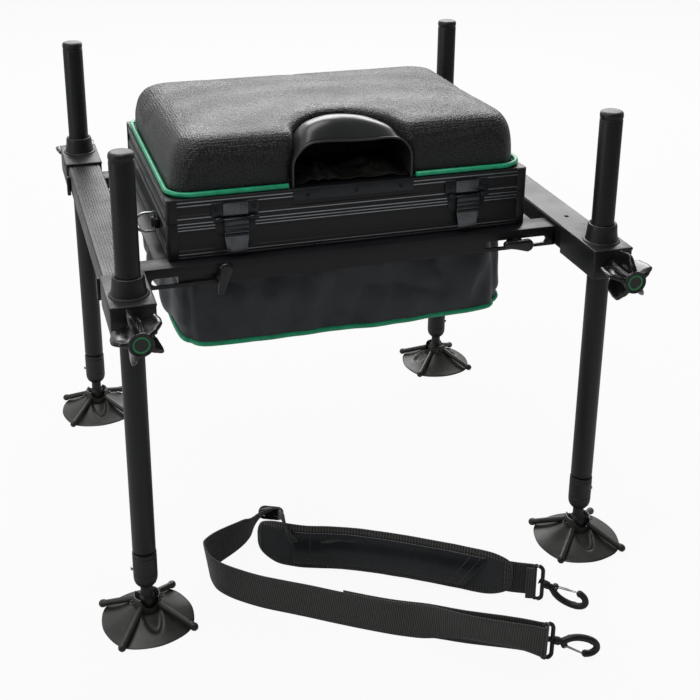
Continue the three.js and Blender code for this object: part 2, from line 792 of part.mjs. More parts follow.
function latchPlate(x) {
  const half = latchPlateWidth / 2;
  const ys = [-plateFace, -caseFront - fitGap];
  const plate = box([x - half, x + half], ys, [plateBase, plateBase + latchPlateHeight]);
  const rise = box([x - leverWidth / 2, x + leverWidth / 2],
    [-plateFace - latchPlateThickness, -caseFront - fitGap * 2],
    [plateBase + latchPlateHeight * 0.3, plateBase + latchPlateHeight]);
  const pin = bar('x', latchPinRadius, [x - half + latchPinRadius, x + half - latchPinRadius],
    [-latchPinY, latchPinHeight], tinyFacets);
  let body = plate.add(rise).add(pin);
  for (const side of [-1, 1]) {
    const eyeStart = leverWidth / 2 + latchPinRadius;
    const eye = box(span(x + side * eyeStart, x + side * (eyeStart + latchPinRadius * 3)),
      [-latchPinY - latchPinRadius, -caseFront - fitGap * 2],
      [latchPinHeight, latchPinHeight + latchPinRadius * 2]);
    const screw = bar('y', latchPinRadius * 1.7, [-plateFace - latchPinRadius * 0.6, -plateFace + fitGap],
      [x + side * (half - latchPinRadius * 3.4), plateBase + latchPlateHeight * 0.65]);
    body = body.add(eye).add(screw);
  }
  return body;
}

function latchLever(x) {
  const half = leverWidth / 2;
  const barrelRadius = latchPinRadius * 1.9;
  const front = -latchPinY - barrelRadius;
  const base = latchPinHeight - leverDrop;
  const flat = box([x - half, x + half], [front, front + leverThickness], [base, latchPinHeight]);
  const barrel = bar('x', barrelRadius, [x - half, x + half], [-latchPinY, latchPinHeight]);
  let body = flat.add(barrel).subtract(bar('x', latchPinRadius + fitGap / 2, [x - leverWidth, x + leverWidth],
    [-latchPinY, latchPinHeight]));
  for (const step of [0.25, 0.36, 0.47]) {
    body = body.add(bar('x', leverThickness * 0.8, [x - half, x + half],
      [front, latchPinHeight - leverDrop * step], tinyFacets));
  }
  return body;
}

for (const [name, side] of sides) {
  piece(`latch_plate_${name}`, latchPlate(side * latchOffset), materials.blackSteel);
  piece(`latch_lever_${name}`, latchLever(side * latchOffset), materials.blackSteel);
}

// Cushion with a crowned top, rounded edges and a hollow in its front for the pocket
const cushionBase = lidTop + fitGap;
const cushionX = caseX - cushionInset;
const cushionFront = caseFront - cushionInset;
const cushionRear = caseRear - cushionInset;
const cushionCorner = cushionEdge - cushionInset + pipingRadius;
const cushionMidY = (cushionRear - cushionFront) / 2;
const cushionY = (cushionRear + cushionFront) / 2;

const scoopX = pocketHalf * 0.96;
const scoopY = pocketDepth * 0.76;
const swellX = pocketHalf * 0.8;
const swellY = pocketDepth * 0.54;

function cushionTop(v) {
  const share = (v + 1) / 2;
  return cushionBase + cushionHeight + (cushionRearHeight - cushionHeight) * share;
}

// Pulls a plan position in towards rounded corners.
function roundCorner(x, y, halfX, halfY, radius) {
  const overX = Math.abs(x) - (halfX - radius);
  const overY = Math.abs(y) - (halfY - radius);
  if (overX <= 0 || overY <= 0) return [x, y];
  const shrink = Math.max(overX, overY) / Math.hypot(overX, overY);
  return [Math.sign(x) * (halfX - radius + overX * shrink), Math.sign(y) * (halfY - radius + overY * shrink)];
}

function seatCushion() {
  const foam = block([-cushionX, cushionX], [-cushionY, cushionY], [0, 1], [12, 10, 4]);
  reshaped(foam, (x, y, z) => {
    const across = Math.sin(x / cushionX * Math.PI / 2);
    const along = Math.sin(y / cushionY * Math.PI / 2);
    const lean = 1 - Math.sqrt(Math.max(0, 1 - z ** 3));
    const inset = cushionEdge * lean;
    const [cx, cy] = roundCorner(across * cushionX, along * cushionY, cushionX, cushionY, cushionCorner);
    const edge = Math.max(Math.abs(across), Math.abs(along));
    const rise = cushionTop(along) - cushionBase;
    const crown = z === 1 ? 1 - 0.16 * edge ** 6 : z * 0.84;
    return [
      cx * (1 - inset / cushionX),
      cushionMidY + cy * (1 - inset / cushionY),
      cushionBase + rise * crown,
    ];
  });
  const room = fitGap * 3;
  const mouth = pocketHalf + room;
  const heights = [cushionBase - mouth, cushionBase + pocketRoof + room];
  const outline = roundedOutline([-mouth, mouth], heights, mouth / 3, 6);
  const tunnel = raised(outline, [0, pocketDepth + cushionInset]);
  tunnel.rotateX(Math.PI / 2);
  tunnel.translate(0, pocketDepth - cushionFront, 0);
  const scoop = new THREE.CylinderGeometry(1, 1, cushionHeight, roundFacets);
  scoop.rotateX(Math.PI / 2);
  scoop.scale(scoopX, scoopY, 1);
  scoop.translate(0, -cushionFront, cushionBase + cushionHeight);
  return solid(foam).subtract(solid(tunnel)).subtract(solid(scoop));
}

piece('seat_cushion', seatCushion(), materials.cushion);

// Hood: a soft arch that lines the pocket's mouth and swells up through the scoop in the cushion
function pocketHood() {
  const corner = pocketHalf / 3;
  const straight = pocketRoof - corner;
  const flat = (pocketHalf - corner) * 2;
  const arc = corner * Math.PI / 2;
  const total = straight * 2 + flat + arc * 2;
  const path = (share) => {
    let s = share * total;
    if (s < straight) return [-pocketHalf, s, -1, 0];
    s -= straight;
    if (s < arc) {
      const a = s / corner;
      const x = -pocketHalf + corner - corner * Math.cos(a);
      return [x, straight + corner * Math.sin(a), -Math.cos(a), Math.sin(a)];
    }
    s -= arc;
    if (s < flat) return [-pocketHalf + corner + s, pocketRoof, 0, 1];
    s -= flat;
    if (s < arc) {
      const a = s / corner;
      const x = pocketHalf - corner + corner * Math.sin(a);
      return [x, straight + corner * Math.cos(a), Math.sin(a), Math.cos(a)];
    }
    s -= arc;
    return [pocketHalf, straight - s, 1, 0];
  };
  const depth = pocketDepth - fitGap * 4;
  const skin = block([0, 1], [0, 1], [0, 1], [16, 6, 1]);
  reshaped(skin, (u, v, w) => {
    const [x, z, nx, nz] = path(u);
    const inset = (1 - w) * hoodThickness;
    const away = Math.hypot(x / swellX, (v * depth) / swellY);
    const swell = hoodBulge * Math.max(0, 1 - away ** 3) * Math.min(1, (v * depth) / (swellY * 0.35));
    return [
      x - nx * inset,
      v * depth - cushionFront - cushionInset / 2,
      cushionBase + fitGap + z - nz * inset + Math.max(0, nz) * swell,
    ];
  });
  return solid(skin);
}

piece('pocket_hood', pocketHood(), materials.pvc);

function pocketSill() {
  const top = lidTop - fitGap;
  const base = top - sillHeight;
  const face = caseFront + fitGap;
  let sill = box([-pocketHalf, pocketHalf], [-face - latchPlateThickness, -face], [base, top]);
  for (const x of [-1, 0, 1]) {
    sill = sill.add(bar('y', latchPinRadius * 1.6, [-face - latchPlateThickness * 1.6, -face - fitGap],
      [x * pocketHalf * 0.77, (base + top) / 2], tinyFacets));
  }
  return sill;
}

piece('pocket_sill', pocketSill(), materials.blackSteel);

// Piping round the cushion's foot, open across the pocket's mouth
function seatPiping() {
  const radius = cushionEdge;
  const reachX = caseX - pipingRadius;
  const front = -(caseFront - pipingRadius);
  const rear = caseRear - pipingRadius;
  const steps = 4;
  const outline = roundedOutline([-reachX, reachX], [front, rear], radius, steps);
  const start = 3 * (steps + 1);
  const ordered = [...outline.slice(start), ...outline.slice(0, start)];
  const gap = pocketHalf + pipingRadius * 1.5;
  const height = cushionBase + pipingRadius;
  const line = [[gap, front], ...ordered, [-gap, front]].map(([x, y]) => [x, y, height]);
  return cord(line, pipingRadius, tinyFacets);
}

piece('seat_piping', seatPiping(), materials.piping);

// Bag: hangs from the case's flange by a turned-out hem, slack at its lower corners
const bagX = caseX - caseWall - caseFlange - fitGap;
const bagFrontY = caseFront - caseWall - caseFlange - fitGap;
const bagRearY = caseRear - caseWall - caseFlange - fitGap;
const bagMidY = (bagRearY - bagFrontY) / 2;
const bagHalfY = (bagRearY + bagFrontY) / 2;
const bagTop = caseBase + caseWall + fitGap;

function bagShape(halfX, halfY, [low, high], parts) {
  const cloth = block([-halfX, halfX], [-halfY, halfY], [low, high], parts);
  return reshaped(cloth, (x, y, z) => {
    const height = (z - bagBottom) / (bagTop - bagBottom);
    const share = Math.min(1, Math.max(0, height));
    const swell = bagSwell * Math.sin(Math.PI * Math.min(1, share * 1.35)) * (share * 1.35 < 1 ? 1 : 0);
    const [cx, cy] = roundCorner(x, y, halfX, halfY, cushionEdge);
    const sag = share < 0.5 ? 1 - 0.018 * (1 - share * 2) ** 2 : 1;
    return [cx * sag * (1 + swell / halfX), bagMidY + cy * sag * (1 + swell / halfY), z];
  });
}

function gearBag() {
  const outer = solid(bagShape(bagX, bagHalfY, [bagBottom, bagTop], [8, 6, 4]));
  const innerHeights = [bagBottom + bagWall, bagTop + bagWall];
  const inner = solid(bagShape(bagX - bagWall, bagHalfY - bagWall, innerHeights, [6, 4, 4]));
  const hem = box([-bagX - bagWall * 2, bagX + bagWall * 2],
    [bagMidY - bagHalfY - bagWall * 2, bagMidY + bagHalfY + bagWall * 2],
    [bagTop, bagTop + bagWall])
    .subtract(box([bagWall - bagX, bagX - bagWall],
      [bagMidY - bagHalfY + bagWall, bagMidY + bagHalfY - bagWall],
      [bagTop - bagWall, bagTop + bagWall * 2]));
  const reachX = bagX * 0.982;
  const reachY = bagHalfY * 0.982;
  const loop = roundedOutline([-reachX, reachX], [bagMidY - reachY, bagMidY + reachY], cushionEdge, 3);
  const height = bagBottom + pipingRadius * 0.8;
  const piping = cord([...loop, loop[0]].map(([x, y]) => [x, y, height]), pipingRadius * 0.8, tinyFacets);
  return outer.add(piping).subtract(inner).add(hem);
}

piece('gear_bag', gearBag(), materials.bag);

// Shoulder strap: the webbing stands on its edge and turns round the bar of a loop at each end
const strapFloor = 0.4;
const strapLift = 4.2;
const nearBar = [125, -425];
const farBar = [158, -331];
const nearAngle = -10;
const farAngle = -36;
const nearRun = [
  [41, -370], [-5, -346], [-52, -316], [-98, -284], [-146, -250], [-175, -217],
  [-180, -192], [-178, -178], [-168, -166], [-154, -156], [-134, -141.5], [-112, -122.8],
];
const sliderAt = [-88, -102];
const bendRun = [
  [-70, -87.8], [-59, -81], [-51, -77.5], [-45, -86], [-43, -104], [-48, -128], [-53, -150], [-56, -170], [-52, -186], [-43, -199],
];
const padLine = [
  [-115, -159], [-99, -179], [-75, -196], [-26, -216], [29, -248], [77, -281], [118, -311], [138, -322],
];
const returnShift = [1.5, 2.4];
const returnPoints = 3;
const padCrown = 2.2;
const padRunStart = 0.33;
const webRoom = webThickness + fitGap * 5;
const turnRadius = loopBarRadius * 1.42 + fitGap + webThickness / 2;
const loopTop = strapFloor + strapLift + webWidth + fitGap + loopBarRadius * 2;

function flatCurve(points) {
  const line = points.map(([x, y]) => new THREE.Vector3(x, y, 0));
  return new THREE.CatmullRomCurve3(line, false, 'centripetal');
}
const padCurve = flatCurve(padLine);

// A place on the pad's line, moved sideways by an offset towards its back.
function besidePad(share, offset) {
  const point = padCurve.getPointAt(share);
  const way = padCurve.getTangentAt(share);
  return [point.x - way.y * offset, point.y + way.x * offset];
}

// Points round a loop's bar, from the back of the webbing to its front.
function turnRound([x, y], [fromX, fromY]) {
  const start = Math.atan2(fromY - y, fromX - x) - Math.PI / 2;
  const steps = 6;
  return Array.from({ length: steps + 1 }, (_, i) => {
    const angle = start - Math.PI * i / steps;
    return [x + turnRadius * Math.cos(angle), y + turnRadius * Math.sin(angle)];
  });
}

function strapLine() {
  const back = nearRun.slice(0, returnPoints)
    .map(([x, y]) => [x + returnShift[0], y + returnShift[1]])
    .reverse();
  const webOffset = padThickness / 2 + webRoom / 2;
  const padRun = [0, 0.2, 0.4, 0.6, 0.8, 1]
    .map((share) => besidePad(padRunStart + share * (1 - padRunStart), webOffset));
  const far = turnRound(farBar, padLine.at(-1));
  const tail = far.at(-1).map((value, i) => value + (padLine.at(-1)[i] - farBar[i]) / 3);
  const near = turnRound(nearBar, nearRun[0]);
  return [...back, ...near, ...nearRun, sliderAt, ...bendRun, ...padRun, ...far, tail];
}

function ribbonOutline(line, half) {
  const left = [];
  const right = [];
  line.forEach(([x, y], i) => {
    const [ax, ay] = line[Math.max(0, i - 1)];
    const [bx, by] = line[Math.min(line.length - 1, i + 1)];
    const length = Math.hypot(bx - ax, by - ay);
    left.push([x - (by - ay) / length * half, y + (bx - ax) / length * half]);
    right.push([x + (by - ay) / length * half, y - (bx - ax) / length * half]);
  });
  return [...left, ...right.reverse()];
}

// The webbing is lifted off the floor where it passes the loops and the slider, and behind the pad.
function liftAt(x, y) {
  const fade = (distance, full) => Math.min(1, Math.max(0, 1 - (distance - full) / webWidth));
  const bars = [nearBar, farBar, sliderAt]
    .map(([bx, by]) => fade(Math.hypot(x - bx, y - by), webWidth * 0.9));
  const behindPad = padLine.slice(1).map(([px, py]) => fade(Math.hypot(x - px, y - py), webWidth * 0.7));
  return strapLift * Math.max(...bars, ...behindPad);
}

function strapWebbing() {
  const line = flatCurve(strapLine()).getPoints(104).map(({ x, y }) => [x, y]);
  const ribbon = raised(ribbonOutline(line, webThickness / 2), [strapFloor, strapFloor + webWidth]);
  return solid(reshaped(ribbon, (x, y, z) => [x, y, z + liftAt(x, y)]));
}

// A slab along the pad's line: along is its reach as shares, across its limits from the front to the back.
function alongPad(along, across, heights, parts, round) {
  const slab = block([0, 1], [0, 1], [0, 1], [parts, 1, 2]);
  return solid(reshaped(slab, (u, v, w) => {
    const share = along[0] + u * (along[1] - along[0]);
    const nearEnd = Math.min(u, 1 - u) * parts / 2;
    const narrow = round && nearEnd < 1 ? Math.sqrt(1 - (1 - nearEnd) ** 2) * 0.6 + 0.4 : 1;
    const middle = (heights[0] + heights[1]) / 2;
    const crown = v === 0 && w > 0 && w < 1 && round ? -padCrown : 0;
    const [x, y] = besidePad(share, across[0] + v * (across[1] - across[0]) + crown);
    return [x, y, middle + (w - 1 / 2) * (heights[1] - heights[0]) * narrow];
  }));
}

function strapPad() {
  const half = padThickness / 2;
  const sleeve = [padRunStart + 0.08, 0.86];
  const web = [strapFloor + strapLift - fitGap * 2, strapFloor + strapLift + webWidth + fitGap * 2];
  const shell = [web[0] - webThickness, web[1] + webThickness];
  return alongPad([0, 1], [-half, half], [strapFloor, strapFloor + padWidth], 16, true)
    .add(alongPad(sleeve, [0, half + webRoom + webThickness], shell, 10, false))
    .subtract(alongPad([sleeve[0] - 0.04, sleeve[1] + 0.04], [half, half + webRoom], web, 12, false));
}

function sliderBuckle() {
  const barHalf = loopBarRadius * 0.7;
  const offset = webThickness / 2 + fitGap + barHalf;
  const half = webWidth / 3;
  const heights = [strapFloor, loopTop];
  const rail = loopBarRadius * 2;
  const depth = [-offset - barHalf, offset + barHalf];
  const posts = [[-half, -offset], [0, offset], [half, -offset]]
    .map(([x, y]) => box([x - barHalf, x + barHalf], [y - barHalf, y + barHalf], heights));
  const rails = [[heights[0], heights[0] + rail - fitGap], [heights[1] - rail + fitGap, heights[1]]]
    .map((zs) => box([-half - barHalf, half + barHalf], depth, zs));
  const frame = [...posts, ...rails].reduce((all, next) => all.add(next));
  const [ax, ay] = nearRun.at(-1);
  const [bx, by] = bendRun[0];
  const turn = THREE.MathUtils.radToDeg(Math.atan2(by - ay, bx - ax));
  return frame.rotate([0, 0, turn]).translate([...sliderAt, 0]);
}

// Loops, snap hooks and gates are drawn along X from the loop's bar, then turned to their place.
const loopReach = 13.5;
const hubLength = 6;
const swivelRadius = 4.3;
const postRadius = 1.8;
const hookPitch = 18;
const loopMiddle = (strapFloor + loopTop) / 2;
const hubPlace = [loopReach, 0, loopMiddle];
const hookFoot = hubLength + fitGap;
const hookLength = 43.5;
const hookShares = [
  [0, 0], [0.041, 0], [0.11, 0.044], [0.219, 0.151], [0.384, 0.208],
  [0.712, 0.208], [0.904, 0.153], [1, 0], [0.904, -0.153], [0.74, -0.203],
];
const gateShares = [[0.1534, -0.0877], [0.685, -0.1973]];
const hookLine = hookShares.map((point) => point.map((share) => share * hookLength));
const gateLine = gateShares.map((point) => point.map((share) => share * hookLength));
const gateThickness = 2.2;
const gatePin = 0.9;

const laid = (geometry) => solid(geometry.rotateX(Math.PI / 2));
const inHookPlane = (points, half) => laid(raised(points, [-half, half]));

function placed(body, [x, y], angle) {
  return body.rotate([0, 0, angle]).translate([x, y, 0]);
}

const pitched = (body) => body.rotate([0, hookPitch, 0]).translate(hubPlace);

function swivelLoop(station, angle) {
  const half = loopBarRadius;
  const rail = half * 2;
  const outline = roundedOutline([-half, loopReach], [strapFloor, loopTop], half, 2);
  const inside = roundedOutline([half, loopReach - rail], [strapFloor + rail, loopTop - rail], half / 2, 1);
  const frame = laid(raised(outline, [-half, half], [inside]));
  const hub = pitched(bar('x', swivelRadius, [-half, hubLength], [0, 0]));
  const bore = pitched(bar('x', postRadius + fitGap, [-rail * 2, hubLength * 2], [0, 0], tinyFacets));
  return placed(frame.add(hub).subtract(bore), station, angle);
}

function snapHook(station, angle, flip) {
  const half = hookThickness / 2;
  const line = hookLine.map(([x, z]) => [x + hookFoot, z]);
  const [[pinX, pinZ]] = gateLine;
  const body = inHookPlane(ribbonOutline(line, half), half)
    .add(bar('y', half * 1.9, [-half, half], [pinX + hookFoot - gatePin, pinZ + gatePin]))
    .subtract(box([hookFoot + half * 1.3, hookFoot + half * 6],
      [-gateThickness * 0.7, gateThickness * 0.7],
      [pinZ * 4, -gatePin / 2]))
    .subtract(bar('y', gatePin + fitGap, [-half * 2, half * 2], [pinX + hookFoot, pinZ], tinyFacets));
  const head = -loopBarRadius * 2 - fitGap * 6;
  const post = bar('x', postRadius, [head, hookFoot + half], [0, 0], tinyFacets)
    .add(bar('x', postRadius * 1.7, [head - postRadius * 0.6, head + postRadius * 0.3], [0, 0], tinyFacets));
  return placed(pitched(body.rotate([flip ? 180 : 0, 0, 0]).add(post)), station, angle);
}

function wireGate(station, angle, flip) {
  const half = gateThickness / 2;
  const line = gateLine.map(([x, z]) => [x + hookFoot, z]);
  const [[pinX, pinZ]] = line;
  const body = inHookPlane(ribbonOutline(line, half), half)
    .add(bar('y', half * 1.3, [-half, half], [pinX, pinZ]))
    .add(bar('y', gatePin, [-hookThickness / 2, hookThickness / 2], [pinX, pinZ], tinyFacets));
  return placed(pitched(body.rotate([flip ? 180 : 0, 0, 0])), station, angle);
}

piece('strap_webbing', strapWebbing(), materials.webbing);
piece('strap_pad', strapPad(), materials.webbing);
piece('slider_buckle', sliderBuckle(), materials.plastic);
const stations = [['near', nearBar, nearAngle, false], ['far', farBar, farAngle, true]];
for (const [name, station, angle, flip] of stations) {
  piece(`swivel_loop_${name}`, swivelLoop(station, angle), materials.plastic);
  piece(`snap_hook_${name}`, snapHook(station, angle, flip), materials.plastic);
  piece(`wire_gate_${name}`, wireGate(station, angle, flip), materials.steel);
}

export default group;
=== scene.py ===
import math

import bpy
from mathutils import Matrix, Vector, noise


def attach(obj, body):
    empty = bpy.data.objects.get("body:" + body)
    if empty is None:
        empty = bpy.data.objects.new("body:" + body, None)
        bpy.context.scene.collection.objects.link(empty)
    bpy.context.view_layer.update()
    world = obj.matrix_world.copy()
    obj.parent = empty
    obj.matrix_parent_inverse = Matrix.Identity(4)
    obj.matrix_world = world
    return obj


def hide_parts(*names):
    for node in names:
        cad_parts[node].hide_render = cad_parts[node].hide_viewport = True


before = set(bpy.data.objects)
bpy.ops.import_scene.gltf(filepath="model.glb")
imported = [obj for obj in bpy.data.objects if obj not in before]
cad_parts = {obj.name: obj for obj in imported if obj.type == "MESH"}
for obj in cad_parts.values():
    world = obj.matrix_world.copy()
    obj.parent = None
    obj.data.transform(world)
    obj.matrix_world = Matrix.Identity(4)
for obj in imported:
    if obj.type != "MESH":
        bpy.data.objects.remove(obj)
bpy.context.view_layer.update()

bl_info = {
    "name": "Fishing seat box",
    "version": (1, 0, 0),
    "blender": (4, 5, 0),
    "location": "3D View > Sidebar > Seat box",
    "description": "Builds a fishing seat box on its frame, with its shoulder strap",
    "category": "Object",
}

# Lengths in this script are millimetres, and MM turns them to Blender's metres.
MM = 0.001
SMOOTH_ANGLE = 32
# Facets of a shape that is turned at a leg's size
ROUND = 64

# Places that repeat the part's source
LEG_X, LEG_Y = 260.0, 240.0
LEG_RADIUS = 12.5
BALL_HEIGHT, BALL_RADIUS = 26.0, 10.3
BUTTON_HEIGHT, BUTTON_RADIUS = 69.0, 2.5
BLOCK_BASE, BLOCK_TOP = 356.5, 390.5
BLOCK_FACE, BLOCK_TAIL, BLOCK_HALF = 269.4, 187.0, 22.75
KNOB_HEIGHT, KNOB_REACH, KNOB_CORE = 372.0, 27.5, 10.6
KNOB_TURNS = {"front_left": 37, "front_right": 22, "rear_left": 10, "rear_right": 50}
RAIL_INNER, RAIL_OUTER, RAIL_END = 240.0, 280.0, 222.0
RAIL_BASE, RAIL_TOP = 359.5, 387.5
CROSS_FACE, CROSS_INNER = 169.6, 141.2
CROSS_BASE, CROSS_TOP, CROSS_WALL = 359.6, 383.0, 3.0
SLOT_HEIGHT, SLOT_CENTRE = 8.6, 368.0
SLOTS = ((-228.0, -148.0), (150.0, 228.0))
CASE_X, CASE_Y, CLEARANCE = 206.0, 153.0, 0.35
TRAY_BASE, TRAY_TOP = 383.35, 424.65
LID_BASE, LID_TOP = 425.35, 452.0
HINGE_Y, HINGE_Z, BARREL_HALF = 157.15, 425.0, 29.7
LATCH_X, LATCH_PIN_Y, LATCH_PIN_Z = 133.0, 157.85, 425.35
WINGS = {"left": (-152.0, 77.0), "right": (190.0, -7.0)}
CUSHION_BASE = 452.35
CUSHION_X, CUSHION_Y = 199.8, 146.8
POCKET_HALF, POCKET_ROOF, POCKET_DEPTH = 69.0, 46.0, 100.0
RING_X, RING_Y, RING_Z, RING_RADIUS = 209.9, -85.0, 405.0, 10.9
STATIONS = {"near": ((125.0, -425.0), -10.0, False), "far": ((158.0, -331.0), -36.0, True)}
LOOP_REACH, LOOP_TOP, LOOP_BASE = 13.5, 48.75, 0.4
HUB_LENGTH, HOOK_PITCH, HOOK_LENGTH = 6.0, 18.0, 43.5
WEB_WIDTH, WEB_THICKNESS = 40.0, 1.6
SLIDER_AT = (-87.0, -101.0, 12.5)
PAD_SHIFT = (-2.5, -5.0, 0.0)
STRAP_LEAN = (-0.13, 0.24)

# The webbing's route from the far loop, round by the slider and back to the near loop, at its lower edge
STRAP_ROUTE = (
    (149.8, -331.5, 4.6), (152.9, -333, 4.6), (155.8, -334.3, 4.6), (157.1, -334.7, 4.6), (158, -334.8, 4.6),
    (158.8, -334.8, 4.6), (159.7, -334.5, 4.6), (160.4, -334, 4.6), (161, -333.4, 4.6), (161.5, -332.6, 4.6),
    (161.8, -331.8, 4.6), (161.8, -330.9, 4.6), (161.7, -330, 4.6), (161.4, -329.2, 4.6), (160.9, -328.5, 4.6),
    (160.3, -328, 4.6), (158.8, -327, 4.6), (151.2, -323.3, 4.6), (141.1, -318.4, 4.6), (127.1, -310.2, 4.6),
    (111.4, -300.4, 4.6), (96.7, -290.2, 4.6), (82.2, -279.2, 4.6), (67.6, -268.6, 4.6), (52.9, -258.2, 4.6),
    (37.9, -248.1, 4.6), (22.6, -238.3, 4.6), (7.2, -229, 4.5), (-9.8, -219.9, 4.6), (-26.3, -211.5, 4.6),
    (-35.1, -205.9, 4.6), (-40.1, -201.9, 4.6), (-44.6, -197.2, 4.6), (-48.9, -191.6, 4.6),
    (-52.3, -185.4, 4.6), (-54.6, -178.6, 4.6), (-55.9, -171.3, 4.3), (-55.5, -162.9, 3.5),
    (-53.8, -153.9, 2.6), (-51.9, -144.6, 2.5), (-49.6, -134.9, 3.1), (-47.3, -124.8, 3.5), (-44.5, -114, 3.6),
    (-43, -103.6, 3.7), (-43.1, -95.1, 3.6), (-44.5, -87.4, 3.6), (-46.7, -82.2, 3.6), (-49.5, -78.4, 3.6),
    (-52.7, -77.5, 3.9), (-56.2, -79.3, 4.3), (-60.2, -81.6, 4.6), (-64.9, -84.4, 4.6), (-70, -87.8, 4.6),
    (-77.6, -93.5, 4.6), (-85.8, -100.2, 4.6), (-95.7, -108.5, 4.6), (-106.5, -118, 4.6), (-116.7, -126.9, 4.4),
    (-126.4, -135.3, 3), (-136, -143, 2.1), (-145, -149.6, 1.8), (-153.6, -155.7, 1.3), (-160.3, -160.2, 0.8),
    (-166.3, -164.5, 0.4), (-171.6, -169.4, 0.4), (-176.1, -174.7, 0.4), (-178.9, -180.5, 0.4),
    (-179.9, -186.5, 0.4), (-179.9, -193.7, 0.4), (-178.9, -204.5, 0.4), (-175.5, -216, 0.4),
    (-165.7, -230.5, 0.4), (-151.4, -245.1, 0.4), (-133.3, -260.2, 0.4), (-111.3, -275.1, 0.4),
    (-90, -289.6, 0.4), (-69.7, -303.9, 0.4), (-49.3, -317.8, 0.4), (-28.6, -331.4, 0.4), (-7.7, -344.4, 0.4),
    (12.2, -354.9, 0.4), (32.4, -365, 0.4), (64.7, -386.1, 0.8), (107.4, -417.5, 4.6), (123.3, -428.4, 4.6),
    (124.1, -428.8, 4.6), (124.9, -428.8, 4.6), (125.7, -428.8, 4.6), (126.6, -428.5, 4.6), (127.3, -428, 4.6),
    (128, -427.4, 4.6), (128.5, -426.7, 4.6), (128.8, -425.8, 4.6), (128.8, -425, 4.6), (128.7, -424.1, 4.6),
    (128.4, -423.2, 4.6), (128, -422.6, 4.6), (127.3, -422, 4.6), (106.6, -407.7, 4.6), (61.1, -378.8, 0.4),
    (31, -361.3, 0.4), (11, -351.4, 0.4), (-9, -340.4, 0.4), (-29.7, -327.2, 0.4), (-50.5, -313.6, 0.4),
)
PAD_ROUTE = (
    (-115, -159), (-105.9, -171.2), (-95.5, -182.2), (-83.3, -191.1), (-70, -198.5), (-55.9, -204.2),
    (-41.6, -209.4), (-27.6, -215.2), (-14.1, -222.2), (-0.9, -229.6), (12.1, -237.4), (25, -245.5),
    (37.8, -253.7), (50.3, -262.2), (62.8, -270.9), (75.1, -279.7), (87.4, -288.6), (99.5, -297.8),
    (111.8, -306.8), (124.6, -314.9), (138, -322),
)

# From the pad's face over its left end, round through the slider and on to the left bend: the webbing's lower
# edge, its width there, and how far its upper edge leans along X and Y for each length of it
STRAP_CLIMB = (
    (-45, -212.9, 6, 38, 0, 0), (-59.7, -207.6, 14, 26, 0, 0), (-74, -201.5, 26, 14, 0, 0),
    (-82.8, -197.8, 35, 12, 0, 0), (-89.3, -194.3, 46, 11.5, 0, 0), (-91.2, -187.5, 58.6, 11, 0, 0),
    (-91, -178, 57, 11, 0, 0), (-89.5, -162, 47, 11, 0, 0), (-87, -145, 34, 11.5, 0, 0),
    (-84, -130, 21, 12, 0, 0), (-81, -119, 12, 13, 0.05, -0.05), (-79.5, -108, 8, 13, 0.1, -0.1),
    (-81, -98.5, 5.5, 14, 0.4, -0.45), (-86, -91.5, 4.6, 19, 0.5, -0.6), (-94, -90, 4, 28, 0.49, -0.62),
    (-103.5, -97, 2.6, 33, 0.35, -0.55), (-111, -108.5, 1.6, 36, 0.15, -0.48),
    (-118.5, -124.5, 1, 39, -0.06, -0.4),
    (-128, -136, 0.6, 40, -0.04, -0.2), (-140, -146, 0.4, 40, 0, -0.05), (-152, -154, 0.4, 40, -0.03, 0.05),
    (-162, -160.5, 0.4, 40, -0.07, 0.12), (-170, -167.5, 0.4, 40, -0.1, 0.18),
    (-176, -175, 0.4, 40, -0.12, 0.22),
)

# Each corner's name, with its side and its end as -1 or 1
CORNERS = (("front_left", -1, -1), ("front_right", 1, -1), ("rear_left", -1, 1), ("rear_right", 1, 1))
SIDES = (("left", -1), ("right", 1))

# Mud feet: the sole's inner radius, its height there and how far it falls to the rim, then each rib's two ends
# as radius and height, the radius of its round tip, and how far each foot is turned about its leg
FOOT_RIM, FOOT_RINGS = 96, 16
FOOT_REACH, FOOT_NECK, FOOT_CROWN, FOOT_FALL = 50.0, 13.5, 22.4, 21.2
RIB_START, RIB_END, RIB_TIP = (12.5, 24.2), (56.5, 4.5), 4.45
FOOT_TURNS = {"front_left": 8, "front_right": 0, "rear_left": 2, "rear_right": 90}

# Shapes turned about Z, as pairs of radius and height
LEG_PROFILE = (
    (0, 62), (9.5, 62), (9.5, 89.75), (11.75, 90.5), (LEG_RADIUS, 92.2), (LEG_RADIUS, 529.2), (12.1, 529.6),
    (0, 529.6),
)
CAP_PROFILE = (
    (0, 529.7), (12.3, 529.7), (12.3, 530.7), (11.9, 531), (11.9, 531.7), (12.6, 532.1), (12.75, 534.4),
    (12.5, 536.3), (11.8, 537.7), (10.6, 538.5), (9.0, 538.8), (0, 539),
)
COUPLING_PROFILE = (
    (6.4, 34.4), (6.4, 46.0), (7.6, 46.6), (9.8, 47.8), (11.6, 50.2), (12.7, 53.4), (13.1, 57.5), (13.1, 61.6),
    (12.6, 62.0), (12.6, 62.8), (13.1, 63.2), (13.1, 83.4), (12.5, 83.9), (12.5, 84.8), (13.1, 85.3),
    (13.0, 87.8),
    (12.1, 89), (9.9, 89), (9.9, 60), (0, 60),
)
BUTTON_PROFILE = ((0, 9), (3.6, 9), (3.6, 9.8), (2.4, 9.8), (2.4, 14.6), (2.2, 15.3), (1.5, 15.6), (0, 15.7))
CLIP_PROFILE = (
    (11.9, 16), (15.4, 16), (15.4, 29.2), (14.9, 31.6), (14.3, 32.9), (13.2, 32.9), (12.7, 31.8), (11.9, 30),
)
